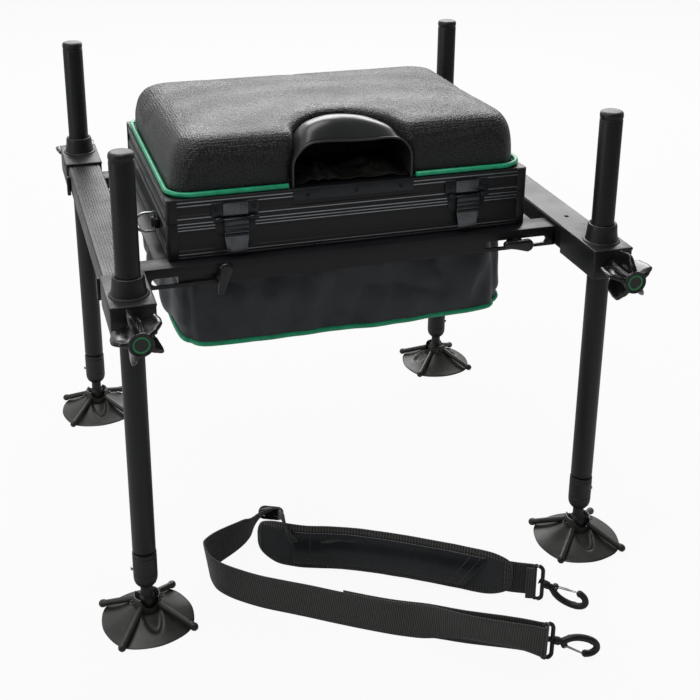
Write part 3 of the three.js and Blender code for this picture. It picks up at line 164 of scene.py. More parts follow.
SOCKET_PROFILE = (
    (0, 14), (10.8, 14), (11.0, 26), (11.4, 30.6), (11.0, 31.4), (10.6, 31), (10.5, 26), (8.2, 19.4), (0, 15.7),
)
COLLAR_PROFILE = (
    (10, 389), (20.4, 389), (20.6, 390.8), (19.9, 391.8), (18.2, 392.4), (17.6, 396), (16.9, 400.5),
    (16.7, 403),
    (16.2, 408.6), (15.5, 410.4), (14.4, 411), (13.2, 410.6), (12.85, 409.5), (10, 409.5),
)
KNOB_HUB = (
    (12.4, 47.6), (12.6, 49.4), (12.2, 50.3), (11.6, 50.5), (10.6, 50.5), (10.2, 50.1), (10.1, 49.4),
    (8.7, 49.4),
    (8.5, 49.75), (6.7, 49.75), (6.5, 49.4), (0, 49.2),
)
WING_BOSS = ((0, 0.35), (6.2, 0.35), (6.2, 1.6), (5.4, 2.2), (5.2, 6.5), (0, 7.5))
HINGE_ROD = ((0, -151), (1.2, -151), (1.8, -150.3), (1.8, 150.3), (1.2, 151), (0, 151))
LATCH_SCREW = ((0, 1.2), (0.9, 1.15), (1.0, 0.75), (1.6, 1.0), (2.5, 0.4), (2.7, -0.4), (0, -0.4))
SILL_RIVET = ((0, 1.5), (0.7, 1.5), (0.9, 1.1), (1.5, 1.4), (2.3, 0.8), (2.6, 0), (0, -0.3))
LOOP_HUB = ((2.1, -1.8), (4.0, -1.8), (4.4, -1.0), (4.4, 4.6), (3.7, 6), (2.1, 6), (2.1, -1.8))
HOOK_POST = ((0, -6.8), (2.9, -6.6), (3.0, -5.6), (1.8, -5.2), (1.8, 9), (0, 9))

# The round scoop over the pocket: its half width, its half depth and its height
SCOOP = (66.3, 76, 62)
# How far each side of the cushion leans in, as a share of the cushion's edge, and how late it rounds over
CUSHION_LEAN = {"left": (0.84, 2.7), "right": (0.72, 2.7), "rear": (0.75, 3.0), "front": (0.66, 4.5)}
BAG_X, BAG_Y = 192.95, 139.95
BAG_TOP, BAG_BOTTOM = 386.5, 274.0

# The shoulder pad's height and its foot above the floor, and how far before its middle the webbing runs
PAD_TALL, PAD_BASE, PAD_FACE = 58.0, 0.4, 9.2
# By the near hook the webbing lifts off the floor: how high, and from where to where before the left bend
ARCH_HEIGHT, ARCH_SPAN = 13.5, (40, 84, 56)

# The snap hook's middle line and the gate's two ends, as shares of the hook's length
HOOK_LINE = (
    (0, 0), (0.06, 0.01), (0.13, 0.07), (0.22, 0.145), (0.38, 0.205), (0.56, 0.222), (0.72, 0.208),
    (0.86, 0.168),
    (0.955, 0.09), (0.985, 0.0), (0.955, -0.09), (0.88, -0.165), (0.80, -0.195), (0.755, -0.2),
)
GATE_PIVOT, GATE_TIP = (0.1534, -0.0877), (0.70, -0.205)

# The camera's place, its angles in degrees, its lens, and its shift as a share of the picture's width
CAMERA_PLACE = (-387, -1374, 900)
CAMERA_YAW, CAMERA_PITCH, CAMERA_ROLL = 17.4, 20.5, 0.5
CAMERA_SENSOR, CAMERA_LENS, CAMERA_SHIFT = 36, 63.82, -0.2
# Each lamp's name, place, aim and size in metres, and its power in watts
LAMPS = (
    ("rear_softbox", (0.75, 2.3, 1.95), (0, 0, 0.4), (2.8, 1.7), 72),
    ("top_softbox", (-0.5, -0.1, 2.3), (0, 0, 0.3), (1.4, 1.4), 20),
    ("side_strip", (-2.3, -0.5, 1.2), (0, 0, 0.3), (0.5, 1.6), 8),
)
FLOOR_SIZE = 30


def linear(code):
    """An sRGB hex colour as linear red, green and blue, with full opacity."""
    shares = [int(code[i:i + 2], 16) / 255 for i in (1, 3, 5)]
    return tuple(s / 12.92 if s <= 0.04045 else ((s + 0.055) / 1.055) ** 2.4 for s in shares) + (1.0,)


# Sizes and colours that a user would change

class SeatBoxSizes(bpy.types.PropertyGroup):
    """Sizes of the soft and the trimmed pieces."""

    cushion_front: bpy.props.FloatProperty(
        name="Cushion front height", description="Height of the cushion above the lid at its front",
        default=0.0605, min=0.03, max=0.09, unit="LENGTH")
    cushion_rear: bpy.props.FloatProperty(
        name="Cushion rear height", description="Height of the cushion above the lid at its rear",
        default=0.052, min=0.03, max=0.09, unit="LENGTH")
    cushion_edge: bpy.props.FloatProperty(
        name="Cushion edge", description="How far the cushion's sides lean in up to its top",
        default=0.026, min=0.005, max=0.05, unit="LENGTH")
    piping: bpy.props.FloatProperty(
        name="Piping diameter", description="Thickness of the green piping round the seat",
        default=0.0056, min=0.002, max=0.01, unit="LENGTH")
    bag_slack: bpy.props.FloatProperty(
        name="Bag slack", description="Depth of the folds in the bag's cloth",
        default=0.0035, min=0.0, max=0.01, unit="LENGTH")
    web_rib: bpy.props.FloatProperty(
        name="Webbing rib", description="Distance between the webbing's cross ribs",
        default=0.0026, min=0.001, max=0.005, unit="LENGTH")


class SeatBoxColours(bpy.types.PropertyGroup):
    """Colours of the finishes."""

    frame_metal: bpy.props.FloatVectorProperty(
        name="Frame", description="Colour of the anodised frame and legs", subtype="COLOR", size=4,
        default=linear("#1e1f22"), min=0, max=1)
    cushion: bpy.props.FloatVectorProperty(
        name="Cushion", description="Colour of the embossed seat cover", subtype="COLOR", size=4,
        default=linear("#292a2c"), min=0, max=1)
    trim: bpy.props.FloatVectorProperty(
        name="Trim", description="Colour of the piping", subtype="COLOR", size=4,
        default=linear("#1fa878"), min=0, max=1)
    bag: bpy.props.FloatVectorProperty(
        name="Bag", description="Colour of the bag's cloth", subtype="COLOR", size=4,
        default=linear("#2f3239"), min=0, max=1)
    foot: bpy.props.FloatVectorProperty(
        name="Feet", description="Colour of the mud feet", subtype="COLOR", size=4,
        default=linear("#242421"), min=0, max=1)
    strap: bpy.props.FloatVectorProperty(
        name="Strap", description="Colour of the webbing", subtype="COLOR", size=4,
        default=linear("#222321"), min=0, max=1)


# Selecting, drawing and shaping

def pick(*pieces):
    """Selects these pieces alone, in object mode."""
    if bpy.context.mode != "OBJECT":
        bpy.ops.object.mode_set(mode="OBJECT")
    bpy.ops.object.select_all(action="DESELECT")
    for made in pieces:
        made.select_set(True)
    if pieces:
        bpy.context.view_layer.objects.active = pieces[0]


def chain(points):
    """A line of joined points, left in edit mode with its last point selected."""
    pick()
    bpy.ops.mesh.primitive_plane_add(size=MM, location=(0, 0, 0))
    made = bpy.context.object
    bpy.ops.object.mode_set(mode="EDIT")
    bpy.ops.mesh.select_mode(type="VERT")
    bpy.ops.mesh.select_all(action="SELECT")
    bpy.ops.mesh.merge(type="CENTER")
    bpy.ops.transform.translate(value=Vector(points[0]) * MM)
    for here, there in zip(points, points[1:]):
        step = (Vector(there) - Vector(here)) * MM
        bpy.ops.mesh.extrude_region_move(TRANSFORM_OT_translate={"value": step})
    return made


def applied():
    """Applies the active piece's place, turn and scale to its mesh."""
    bpy.ops.object.transform_apply(location=True, rotation=True, scale=True)
    return bpy.context.object


def linked(name, data):
    """A new object in the scene."""
    made = bpy.data.objects.new(name, data)
    bpy.context.scene.collection.objects.link(made)
    return made


def tidy_faces():
    """Merges what lies together and turns the faces outwards, then leaves edit mode."""
    bpy.ops.mesh.select_all(action="SELECT")
    bpy.ops.mesh.remove_doubles(threshold=0.005 * MM)
    bpy.ops.mesh.normals_make_consistent(inside=False)
    bpy.ops.object.mode_set(mode="OBJECT")


def turned(profile, steps=48):
    """A shape turned about the Z axis from pairs of radius and height."""
    made = chain([(radius, 0, height) for radius, height in profile])
    bpy.ops.mesh.select_all(action="SELECT")
    bpy.ops.mesh.spin(steps=steps, angle=math.tau, center=(0, 0, 0), axis=(0, 0, 1))
    tidy_faces()
    return made


def slab(outline, axis, low, high):
    """A closed outline raised along one axis."""
    place = {
        "x": lambda u, v: (low, u, v),
        "y": lambda u, v: (u, low, v),
        "z": lambda u, v: (u, v, low),
    }[axis]
    way = Vector([name == axis for name in "xyz"])
    made = chain([place(u, v) for u, v in (*outline, outline[0])])
    bpy.ops.mesh.select_all(action="SELECT")
    bpy.ops.mesh.remove_doubles(threshold=0.005 * MM)
    bpy.ops.mesh.edge_face_add()
    bpy.ops.mesh.extrude_region_move(TRANSFORM_OT_translate={"value": way * (high - low) * MM})
    tidy_faces()
    return made


def arc(centre, radius, start, end, steps):
    """Points along an arc, with angles in degrees."""
    angles = [math.radians(start + (end - start) * i / steps) for i in range(steps + 1)]
    return [(centre[0] + radius * math.cos(a), centre[1] + radius * math.sin(a)) for a in angles]


def rounded_outline(low, high, radius, steps=4):
    """A rounded rectangle between two corners."""
    (x0, y0), (x1, y1) = low, high
    centres = ((x1 - radius, y1 - radius), (x0 + radius, y1 - radius), (x0 + radius, y0 + radius),
               (x1 - radius, y0 + radius))
    return [p for i, c in enumerate(centres) for p in arc(c, radius, i * 90, i * 90 + 90, steps)]


def bar(axis, radius, low, high, place, facets=32):
    """A round bar along one axis. Its place holds the other two coordinates."""
    turn = {"x": (0, math.pi / 2, 0), "y": (math.pi / 2, 0, 0), "z": (0, 0, 0)}[axis]
    middle = list(place)
    middle.insert("xyz".index(axis), (low + high) / 2)
    pick()
    bpy.ops.mesh.primitive_cylinder_add(
        vertices=facets, radius=radius * MM, depth=(high - low) * MM, location=Vector(middle) * MM,
        rotation=turn)
    return applied()


def rod(axis, radius, low, high, place, facets=28, edge=0.4):
    """A round bar with its two ends softened."""
    return rounded(bar(axis, radius, low, high, place, facets), edge, 2, 60)


def block(xs, ys, zs):
    """A box between limits on each axis."""
    limits = [sorted(span) for span in (xs, ys, zs)]
    pick()
    bpy.ops.mesh.primitive_cube_add(
        size=1, location=[(a + b) / 2 * MM for a, b in limits], scale=[(b - a) * MM for a, b in limits])
    return applied()


def tube(points, radius, closed=False, facets=12, smooth=0):
    """A round wire along points, made a mesh."""
    curve = bpy.data.curves.new("wire", "CURVE")
    curve.dimensions = "3D"
    line = curve.splines.new("NURBS" if smooth else "POLY")
    line.points.add(len(points) - 1)
    for place, point in zip(line.points, points):
        place.co = (*(Vector(point) * MM), 1)
    if smooth:
        line.order_u = 3
        line.resolution_u = smooth
        line.use_endpoint_u = not closed
    line.use_cyclic_u = closed
    curve.bevel_depth = radius * MM
    curve.bevel_resolution = max(1, facets // 4 - 1)
    curve.use_fill_caps = not closed
    made = linked("wire", curve)
    pick(made)
    bpy.ops.object.convert(target="MESH")
    bpy.ops.object.mode_set(mode="EDIT")
    tidy_faces()
    return made


def modified(made, kind, **settings):
    """Finishes a piece with one modifier and applies it."""
    pick(made)
    modifier = made.modifiers.new(kind.title(), kind)
    for name, value in settings.items():
        setattr(modifier, name, value)
    bpy.ops.object.modifier_apply(modifier=modifier.name)
    return made


def rounded(made, width, segments=2, angle=35):
    """Rounds the edges that are sharper than an angle."""
    return modified(made, "BEVEL", width=width * MM, segments=segments, limit_method="ANGLE",
                    angle_limit=math.radians(angle), use_clamp_overlap=True)


def cut(made, tool, way="DIFFERENCE"):
    """Cuts a tool's shape out of a piece, or welds it on."""
    modified(made, "BOOLEAN", object=tool, operation=way, solver="EXACT")
    bpy.data.objects.remove(tool)
    return made


def moved(made, place=(0, 0, 0), turn=(0, 0, 0)):
    """Turns a piece about the origin, then moves it, and applies both."""
    made.rotation_euler = [math.radians(a) for a in turn]
    made.location = Vector(place) * MM
    pick(made)
    return applied()


def twin(made, mirror=(1, 1, 1), place=(0, 0, 0)):
    """A copy of a piece with its own mesh, mirrored and moved."""
    copy = made.copy()
    copy.data = made.data.copy()
    bpy.context.scene.collection.objects.link(copy)
    copy.data.transform(Matrix.Translation(Vector(place) * MM) @ Matrix.Diagonal((*mirror, 1)))
    if mirror[0] * mirror[1] * mirror[2] < 0:
        copy.data.flip_normals()
    return copy


def joined(*pieces):
    """Joins pieces into the first."""
    pick(*pieces)
    bpy.ops.object.join()
    return bpy.context.object


def reshaped(made, move):
    """Moves every point with a function of its place in mm."""
    for point in made.data.vertices:
        point.co = Vector(move(*(point.co / MM))) * MM
    made.data.update()
    return made


def grid(rows, closed=False):
    """A sheet through rows of points, with a UV map in metres along and across."""
    count = len(rows[0])
    points = [Vector(p) * MM for row in rows for p in row]
    across = count if closed else count - 1
    faces = [(i * count + j, i * count + (j + 1) % count, (i + 1) * count + (j + 1) % count,
              (i + 1) * count + j)
             for i in range(len(rows) - 1) for j in range(across)]
    mesh = bpy.data.meshes.new("sheet")
    mesh.from_pydata(points, [], faces)
    along = [0.0]
    middle = count // 2
    for i in range(1, len(rows)):
        along.append(along[-1] + (points[i * count + middle] - points[(i - 1) * count + middle]).length)
    wide = [0.0]
    for j in range(1, count + 1):
        wide.append(wide[-1] + (points[j % count] - points[j - 1]).length)
    layer = mesh.uv_layers.new(name="cloth")
    for face_index, face in enumerate(mesh.polygons):
        i, j = divmod(face_index, across)
        for corner, (di, dj) in zip(face.loop_indices, ((0, 0), (0, 1), (1, 1), (1, 0))):
            layer.data[corner].uv = (along[i + di], wide[j + dj])
    return linked("sheet", mesh)


def ease(value, low, high):
    """0 below low, 1 above high, and smooth between."""
    share = min(1, max(0, (value - low) / (high - low)))
    return share * share * (3 - 2 * share)


def cad_copy(node, edge=0.0):
    """A copy of a CAD node with its triangles merged to whole faces and its edges broken."""
    made = linked("copy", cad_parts[node].data.copy())
    pick(made)
    bpy.ops.object.mode_set(mode="EDIT")
    bpy.ops.mesh.select_all(action="SELECT")
    bpy.ops.mesh.remove_doubles(threshold=0.01 * MM)
    bpy.ops.mesh.dissolve_limited(angle_limit=math.radians(1))
    bpy.ops.object.mode_set(mode="OBJECT")
    if edge:
        rounded(made, edge)
    return made


def painted(made, finish, test):
    """Gives a second finish to the faces whose middle, in mm, and normal pass a test."""
    if not made.data.materials:
        made.data.materials.append(None)
    made.data.materials.append(finish)
    index = len(made.data.materials) - 1
    for face in made.data.polygons:
        if test(face.center / MM, face.normal):
            face.material_index = index
    return made


def shown(made, name, look, body, *nodes, smooth=SMOOTH_ANGLE):
    """Names a finished piece, gives it its finish, puts it on its body and lets it stand for CAD nodes."""
    made.name = name
    made.data.name = name
    if not made.data.materials:
        made.data.materials.append(finish(look))
    else:
        made.data.materials[0] = finish(look)
    pick(made)
    bpy.ops.object.shade_smooth_by_angle(angle=math.radians(smooth))
    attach(made, body)
    if nodes:
        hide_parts(*nodes)
    return made


# Finishes

def add_node(tree, kind, settings=None, links=None):
    """Adds a shader node of a kind, with values for its inputs or its own settings, and links into it."""
    made = tree.nodes.new("ShaderNode" + kind)
    for name, value in (settings or {}).items():
        if isinstance(name, int) or name in made.inputs:
            made.inputs[name].default_value = value
        else:
            setattr(made, name, value)
    for name, source in (links or {}).items():
        tree.links.new(source, made.inputs[name])
    return made


def finish_of(name):
    """An empty material and its node tree."""
    made = bpy.data.materials.new(name)
    made.use_nodes = True
    made.node_tree.nodes.clear()
    return made, made.node_tree


def darker(colour, share):
    """A colour with its light scaled by a share."""
    return tuple(c * share for c in colour[:3]) + (1.0,)


def hard_finish(name, colour, roughness, metallic=0.0, ior=1.5, grain=0.6, depth=0.03, blotch=45.0,
                stretch=(1, 1, 1), shade=0.6, spread=0.08, coat=0.0, dust=None):
    """A hard surface: a fine grain, and a slow change of tone and gloss. Lengths are in mm."""
    made, tree = finish_of(name)
    place = add_node(tree, "TexCoord")
    drawn = add_node(tree, "Mapping", {"Scale": stretch}, {"Vector": place.outputs["Object"]})
    fine = add_node(tree, "TexNoise", {"Scale": 1 / (grain * MM), "Detail": 3.0, "Roughness": 0.6},
                    {"Vector": drawn.outputs[0]})
    slow = add_node(tree, "TexNoise", {"Scale": 1 / (blotch * MM), "Detail": 5.0, "Roughness": 0.62},
                    {"Vector": place.outputs["Object"]})
    tone = add_node(tree, "MapRange", {"From Min": 0.35, "From Max": 0.68},
                    {"Value": slow.outputs["Fac"]})
    mixed = add_node(tree, "Mix", {"data_type": "RGBA", 6: darker(colour, shade), 7: colour},
                     {0: tone.outputs[0]})
    top = mixed.outputs[2]
    if dust:
        # Dust lies where the surface faces up and in slow patches.
        facing = add_node(tree, "NewGeometry")
        height = add_node(tree, "SeparateXYZ", None, {0: facing.outputs["Normal"]})
        lying = add_node(tree, "MapRange", {"From Min": 0.1, "From Max": 1.0, "To Max": 0.55},
                         {"Value": height.outputs["Z"]})
        patch = add_node(tree, "Math", {"operation": "MULTIPLY"},
                         {0: lying.outputs[0], 1: tone.outputs[0]})
        dusted = add_node(tree, "Mix", {"data_type": "RGBA", 7: dust}, {0: patch.outputs[0], 6: top})
        top = dusted.outputs[2]
    gloss = add_node(tree, "MapRange",
                     {"From Min": 0.3, "From Max": 0.7, "To Min": max(0.05, roughness - spread),
                      "To Max": roughness + spread},
                     {"Value": slow.outputs["Fac"]})
    bump = add_node(tree, "Bump", {"Strength": 1.0, "Distance": depth * MM},
                    {"Height": fine.outputs["Fac"]})
    shader = add_node(tree, "BsdfPrincipled",
                      {"Metallic": metallic, "IOR": ior, "Coat Weight": coat, "Coat Roughness": 0.12},
                      {"Base Color": top, "Roughness": gloss.outputs[0], "Normal": bump.outputs[0]})
    add_node(tree, "OutputMaterial", None, {"Surface": shader.outputs[0]})
    return made


def embossed_cover(colour):
    """Embossed PVC leathercloth: round pebbles 2.6 mm apart, pressed in by a roller, over a fine grain. Each
    pebble's top is painted lighter as a painted highlight, and the hollows between them darker as painted
    shade.
    """
    made, tree = finish_of("embossed_pvc_leathercloth")
    place = add_node(tree, "TexCoord")
    cells = add_node(tree, "TexVoronoi", {"feature": "SMOOTH_F1", "Scale": 1 / (2.6 * MM),
                                                    "Smoothness": 0.3,
                     "Randomness": 0.55}, {"Vector": place.outputs["Object"]})
    pebble = add_node(tree, "MapRange", {"From Min": 0.05, "From Max": 0.6, "To Min": 1.0,
                                                   "To Max": 0.0},
                      {"Value": cells.outputs["Distance"]})
    grain = add_node(tree, "TexNoise", {"Scale": 1 / (0.7 * MM), "Detail": 3.0},
                     {"Vector": place.outputs["Object"]})
    slow = add_node(tree, "TexNoise", {"Scale": 1 / (60 * MM), "Detail": 4.0},
                    {"Vector": place.outputs["Object"]})
    height = add_node(tree, "Math", {"operation": "MULTIPLY_ADD", 1: 0.25},
                      {0: grain.outputs["Fac"], 2: pebble.outputs[0]})
    # Painted highlight and painted shade: the colour runs from dark in the hollows between the pebbles to light
    # on their tops
    tone = add_node(tree, "MapRange", {"To Min": 0.0, "To Max": 1.0}, {"Value": pebble.outputs[0]})
    mixed = add_node(tree, "Mix", {"data_type": "RGBA", 6: darker(colour, 0.3),
                                             7: darker(colour, 1.35)},
                     {0: tone.outputs[0]})
    gloss = add_node(tree, "MapRange", {"From Min": 0.3, "From Max": 0.7, "To Min": 0.36,
                                                  "To Max": 0.5},
                     {"Value": slow.outputs["Fac"]})
    bump = add_node(tree, "Bump", {"Strength": 1.0, "Distance": 0.8 * MM},
                    {"Height": height.outputs[0]})
    shader = add_node(tree, "BsdfPrincipled", {"IOR": 1.46, "Sheen Weight": 0.06,
                                                         "Sheen Roughness": 0.5},
                      {"Base Color": mixed.outputs[2], "Roughness": gloss.outputs[0],
                       "Normal": bump.outputs[0]})
    add_node(tree, "OutputMaterial", None, {"Surface": shader.outputs[0]})
    return made


def woven_finish(name, colour, rib, painted_rib_highlight=4.4, across=1.6, depth=0.5, roughness=0.72):
    """Woven polypropylene: cross ribs along the piece's UV map, crossed by finer yarns, with a painted
    highlight on the rib tops and painted shade in the gaps between them. Lengths are in mm.
    """
    made, tree = finish_of(name)
    place = add_node(tree, "TexCoord")
    wander = add_node(tree, "TexNoise", {"Scale": 1 / (6 * MM), "Detail": 2.0},
                      {"Vector": place.outputs["Object"]})
    apart = add_node(tree, "SeparateXYZ", None, {0: place.outputs["UV"]})
    ribs = add_node(tree, "Math", {"operation": "MULTIPLY", 1: math.tau / (rib * MM)},
                    {0: apart.outputs["X"]})
    shift = add_node(tree, "Math", {"operation": "MULTIPLY_ADD", 1: 1.2},
                     {0: wander.outputs["Fac"], 2: ribs.outputs[0]})
    wave = add_node(tree, "Math", {"operation": "SINE"}, {0: shift.outputs[0]})
    yarns = add_node(tree, "Math", {"operation": "MULTIPLY", 1: math.tau / (across * MM)},
                     {0: apart.outputs["Y"]})
    yarn = add_node(tree, "Math", {"operation": "SINE"}, {0: yarns.outputs[0]})
    height = add_node(tree, "Math", {"operation": "MULTIPLY_ADD", 1: 0.4},
                      {0: yarn.outputs[0], 2: wave.outputs[0]})
    tone = add_node(tree, "MapRange", {"From Min": -1.4, "From Max": 1.4},
                    {"Value": height.outputs[0]})
    # Painted shade and painted highlight: the yarns are painted far darker in the gaps between the ribs and far
    # lighter on the rib tops
    mixed = add_node(tree, "Mix",
                     {"data_type": "RGBA", 6: darker(colour, 0.12), 7: darker(colour, painted_rib_highlight)},
                     {0: tone.outputs[0]})
    bump = add_node(tree, "Bump", {"Strength": 1.0, "Distance": depth * MM},
                    {"Height": tone.outputs[0]})
    shader = add_node(tree, "BsdfPrincipled",
                      {"Roughness": roughness, "IOR": 1.49, "Sheen Weight": 0.25, "Sheen Roughness": 0.4},
                      {"Base Color": mixed.outputs[2], "Normal": bump.outputs[0]})
    add_node(tree, "OutputMaterial", None, {"Surface": shader.outputs[0]})
    return made


def coated_cloth(name, colour, roughness, weave=0.9, crease=16.0, crease_depth=1.2, ior=1.5, coat=0.0):
    """Coated cloth: a fine even weave under a film, with soft creases. Lengths are in mm."""
    made, tree = finish_of(name)
    place = add_node(tree, "TexCoord")
    weft = add_node(tree, "TexVoronoi", {"feature": "F1", "Scale": 1 / (weave * MM),
                                                   "Randomness": 0.25},
                    {"Vector": place.outputs["Object"]})
    folds = add_node(tree, "TexNoise", {"Scale": 1 / (crease * MM), "Detail": 3.0, "Roughness": 0.45,
                     "Distortion": 0.6}, {"Vector": place.outputs["Object"]})
    slow = add_node(tree, "TexNoise", {"Scale": 1 / (70 * MM), "Detail": 4.0},
                    {"Vector": place.outputs["Object"]})
    tone = add_node(tree, "MapRange", {"From Min": 0.3, "From Max": 0.7},
                    {"Value": slow.outputs["Fac"]})
    mixed = add_node(tree, "Mix", {"data_type": "RGBA", 6: darker(colour, 0.65), 7: colour},
                     {0: tone.outputs[0]})
    gloss = add_node(tree, "MapRange", {"To Min": max(0.05, roughness - 0.08),
                                                  "To Max": roughness + 0.08},
                     {"Value": folds.outputs["Fac"]})
    creased = add_node(tree, "Bump", {"Strength": 0.5, "Distance": crease_depth * MM},
                       {"Height": folds.outputs["Fac"]})
    bump = add_node(tree, "Bump", {"Strength": 0.5, "Distance": 0.12 * MM},
                    {"Height": weft.outputs["Distance"], "Normal": creased.outputs[0]})
    shader = add_node(tree, "BsdfPrincipled", {"IOR": ior, "Coat Weight": coat,
                                                         "Coat Roughness": 0.2},
                      {"Base Color": mixed.outputs[2], "Roughness": gloss.outputs[0],
                       "Normal": bump.outputs[0]})
    add_node(tree, "OutputMaterial", None, {"Surface": shader.outputs[0]})
    return made


FINISHES = {}


def finish(name):
    """One finish, made the first time that it is asked for."""
    if name in FINISHES:
        return FINISHES[name]
    colours = bpy.context.scene.seat_box_colours
    sizes = bpy.context.scene.seat_box_sizes
    metal, strap = tuple(colours.frame_metal), tuple(colours.strap)
    recipes = {
        # Etched and anodised black: a satin skin with a faint drawn grain
        "anodised": lambda: hard_finish("black_anodised_aluminium", metal, 0.42, metallic=0.25, grain=0.5,
                                        depth=0.02, blotch=60.0, shade=0.7, spread=0.06),
        # Where the anodising is milled off, bare bright aluminium
        "rib_edge": lambda: hard_finish("bare_aluminium_edge", linear("#a9acb0"), 0.34, metallic=1.0, grain=0.4,
                                        depth=0.01, blotch=20.0, shade=0.7),
        # Glass-filled nylon: matt, with the mould's fine spark-eroded grain
        "nylon": lambda: hard_finish("moulded_black_nylon", linear("#1b1c1e"), 0.46, grain=0.7, depth=0.035,
                                     blotch=30.0, shade=0.65),
        # Polished-mould ABS: dark and glossy
        "gloss": lambda: hard_finish("gloss_moulded_abs", linear("#141517"), 0.22, grain=2.5, depth=0.015,
                                     blotch=25.0, shade=0.7, spread=0.07, coat=0.15),
        # Bright zinc plating
        "steel": lambda: hard_finish("zinc_plated_steel", linear("#c4c6c8"), 0.28, metallic=1.0, grain=0.5,
                                     depth=0.01, blotch=12.0, shade=0.75),
        # Black chrome plating over stamped steel
        "black_steel": lambda: hard_finish("black_plated_steel", linear("#3a3c40"), 0.32, metallic=0.75,
                                           grain=0.5,
                                           depth=0.015, blotch=18.0, shade=0.7),
        # The same plating rubbed across by the thumb
        "brushed_steel": lambda: hard_finish("rubbed_plated_steel", linear("#6c6f73"), 0.28, metallic=0.85,
                                             grain=0.5, blotch=10.0, stretch=(8, 1, 1), shade=0.65, spread=0.1),
        # Soft nylon of the feet, dulled by handling and dust
        "foot": lambda: hard_finish("dusty_moulded_nylon", tuple(colours.foot), 0.36, grain=0.9, depth=0.05,
                                    blotch=30.0, shade=0.85, spread=0.06, dust=linear("#3e3d38")),
        # Leathercloth with its pebbles pressed in: each pebble's top has a painted highlight and the hollows
        # between them painted shade
        "cover": lambda: embossed_cover(tuple(colours.cushion)),
        # PVC tube piping with a soft gloss
        "piping": lambda: hard_finish("green_pvc_piping", tuple(colours.trim), 0.34, grain=1.5, depth=0.05,
                                      blotch=12.0, shade=0.72),
        # The plain ring that is pad printed on each knob's hub: flat ink, a little duller than the knob
        "hub_ring": lambda: hard_finish("green_pad_print", linear("#1c8a4e"), 0.35, grain=0.8, depth=0.01,
                                        blotch=8.0, shade=0.7, spread=0.06),
        # PU-coated nylon: fine weave under a soft film
        "bag": lambda: coated_cloth("coated_nylon_cloth", tuple(colours.bag), 0.42, weave=1.1, crease=22.0,
                                    crease_depth=1.6),
        # Thin glossy PVC sheet
        "hood": lambda: coated_cloth("gloss_pvc_sheet", linear("#2c2d2e"), 0.3, weave=1.4, crease=30.0,
                                     crease_depth=0.5, ior=1.52, coat=0.2),
        # Thin uncoated lining: matt, with soft crumples; its dark colour is partly the cloth's own and partly
        # painted shade for the inside of the pocket
        "lining": lambda: coated_cloth("lining_cloth", linear("#21201d"), 0.6, weave=1.0, crease=14.0,
                                       crease_depth=1.5),
        # Smooth leathercloth on the strap's pad
        "panel": lambda: coated_cloth("smooth_leathercloth", linear("#26282b"), 0.26, weave=1.2, crease=34.0,
                                      crease_depth=0.5),
        # Spacer mesh on the pad's ends
        "mesh": lambda: coated_cloth("spacer_mesh_cloth", linear("#34383a"), 0.62, weave=1.8, crease=18.0,
                                     crease_depth=0.5),
        # Ribbed webbing: matt yarns with painted shade in the gaps between the ribs and a painted highlight on
        # each rib
        "webbing": lambda: woven_finish("woven_polypropylene", strap, sizes.web_rib / MM),
        # The coarser tape that binds the pad's edge, with the same painted highlight and painted shade on its
        # ribs
        "binding": lambda: woven_finish("woven_binding_tape", strap, sizes.web_rib / MM * 1.3, painted_rib_highlight=4.6,
                                        across=2.6, depth=0.8),
    }
    FINISHES[name] = recipes[name]()
    return FINISHES[name]


# The pieces, each group made by one operator

class SeatBoxStep(bpy.types.Operator):
    """A step of the build that undoes in one go."""

    bl_options = {"UNDO"}


def leg_parts():
    """A leg's tube, its cap, and its coupling with the ball at the foot."""
    tube_piece = rounded(turned(LEG_PROFILE, ROUND), 0.2, 1)
    cap = turned(CAP_PROFILE, ROUND)
    ball = [(BALL_RADIUS * math.cos(math.radians(a)), BALL_HEIGHT + BALL_RADIUS * math.sin(math.radians(a)))
            for a in range(-80, 51, 10)]
    coupling = turned([(0, BALL_HEIGHT - BALL_RADIUS), *ball, *COUPLING_PROFILE], ROUND)
    return tube_piece, cap, coupling


class SEATBOX_OT_legs(SeatBoxStep):
    """Legs with their caps, ball couplings and release buttons"""

    bl_idname = "seatbox.legs"
    bl_label = "Legs and couplings"

    def execute(self, context):
        tube_piece, cap, coupling = leg_parts()
        hole = bar("x", BUTTON_RADIUS + 0.5, -20, 0, (0, BUTTON_HEIGHT))
        drilled = cut(coupling, hole)
        pin = turned(BUTTON_PROFILE, 24)
        for corner, side, end in CORNERS:
            place = (side * LEG_X, end * LEG_Y, 0)
            body = f"leg_{corner}"
            shown(twin(tube_piece, place=place), f"{corner}_leg", "anodised", body, f"leg_tube_{corner}")
            shown(twin(cap, place=place), f"{corner}_leg_top", "nylon", body, f"leg_cap_{corner}")
            shown(twin(drilled, (-side, 1, 1), place), f"{corner}_ball_coupling", "nylon", body,
                  f"foot_coupling_{corner}")
            button = moved(twin(pin), (side * LEG_X, end * LEG_Y, BUTTON_HEIGHT), (0, 90 * side, 0))
            shown(button, f"{corner}_spring_button", "steel", f"button_{corner}", f"release_button_{corner}")
        for made in (tube_piece, cap, drilled, pin):
            bpy.data.objects.remove(made)
        return {"FINISHED"}


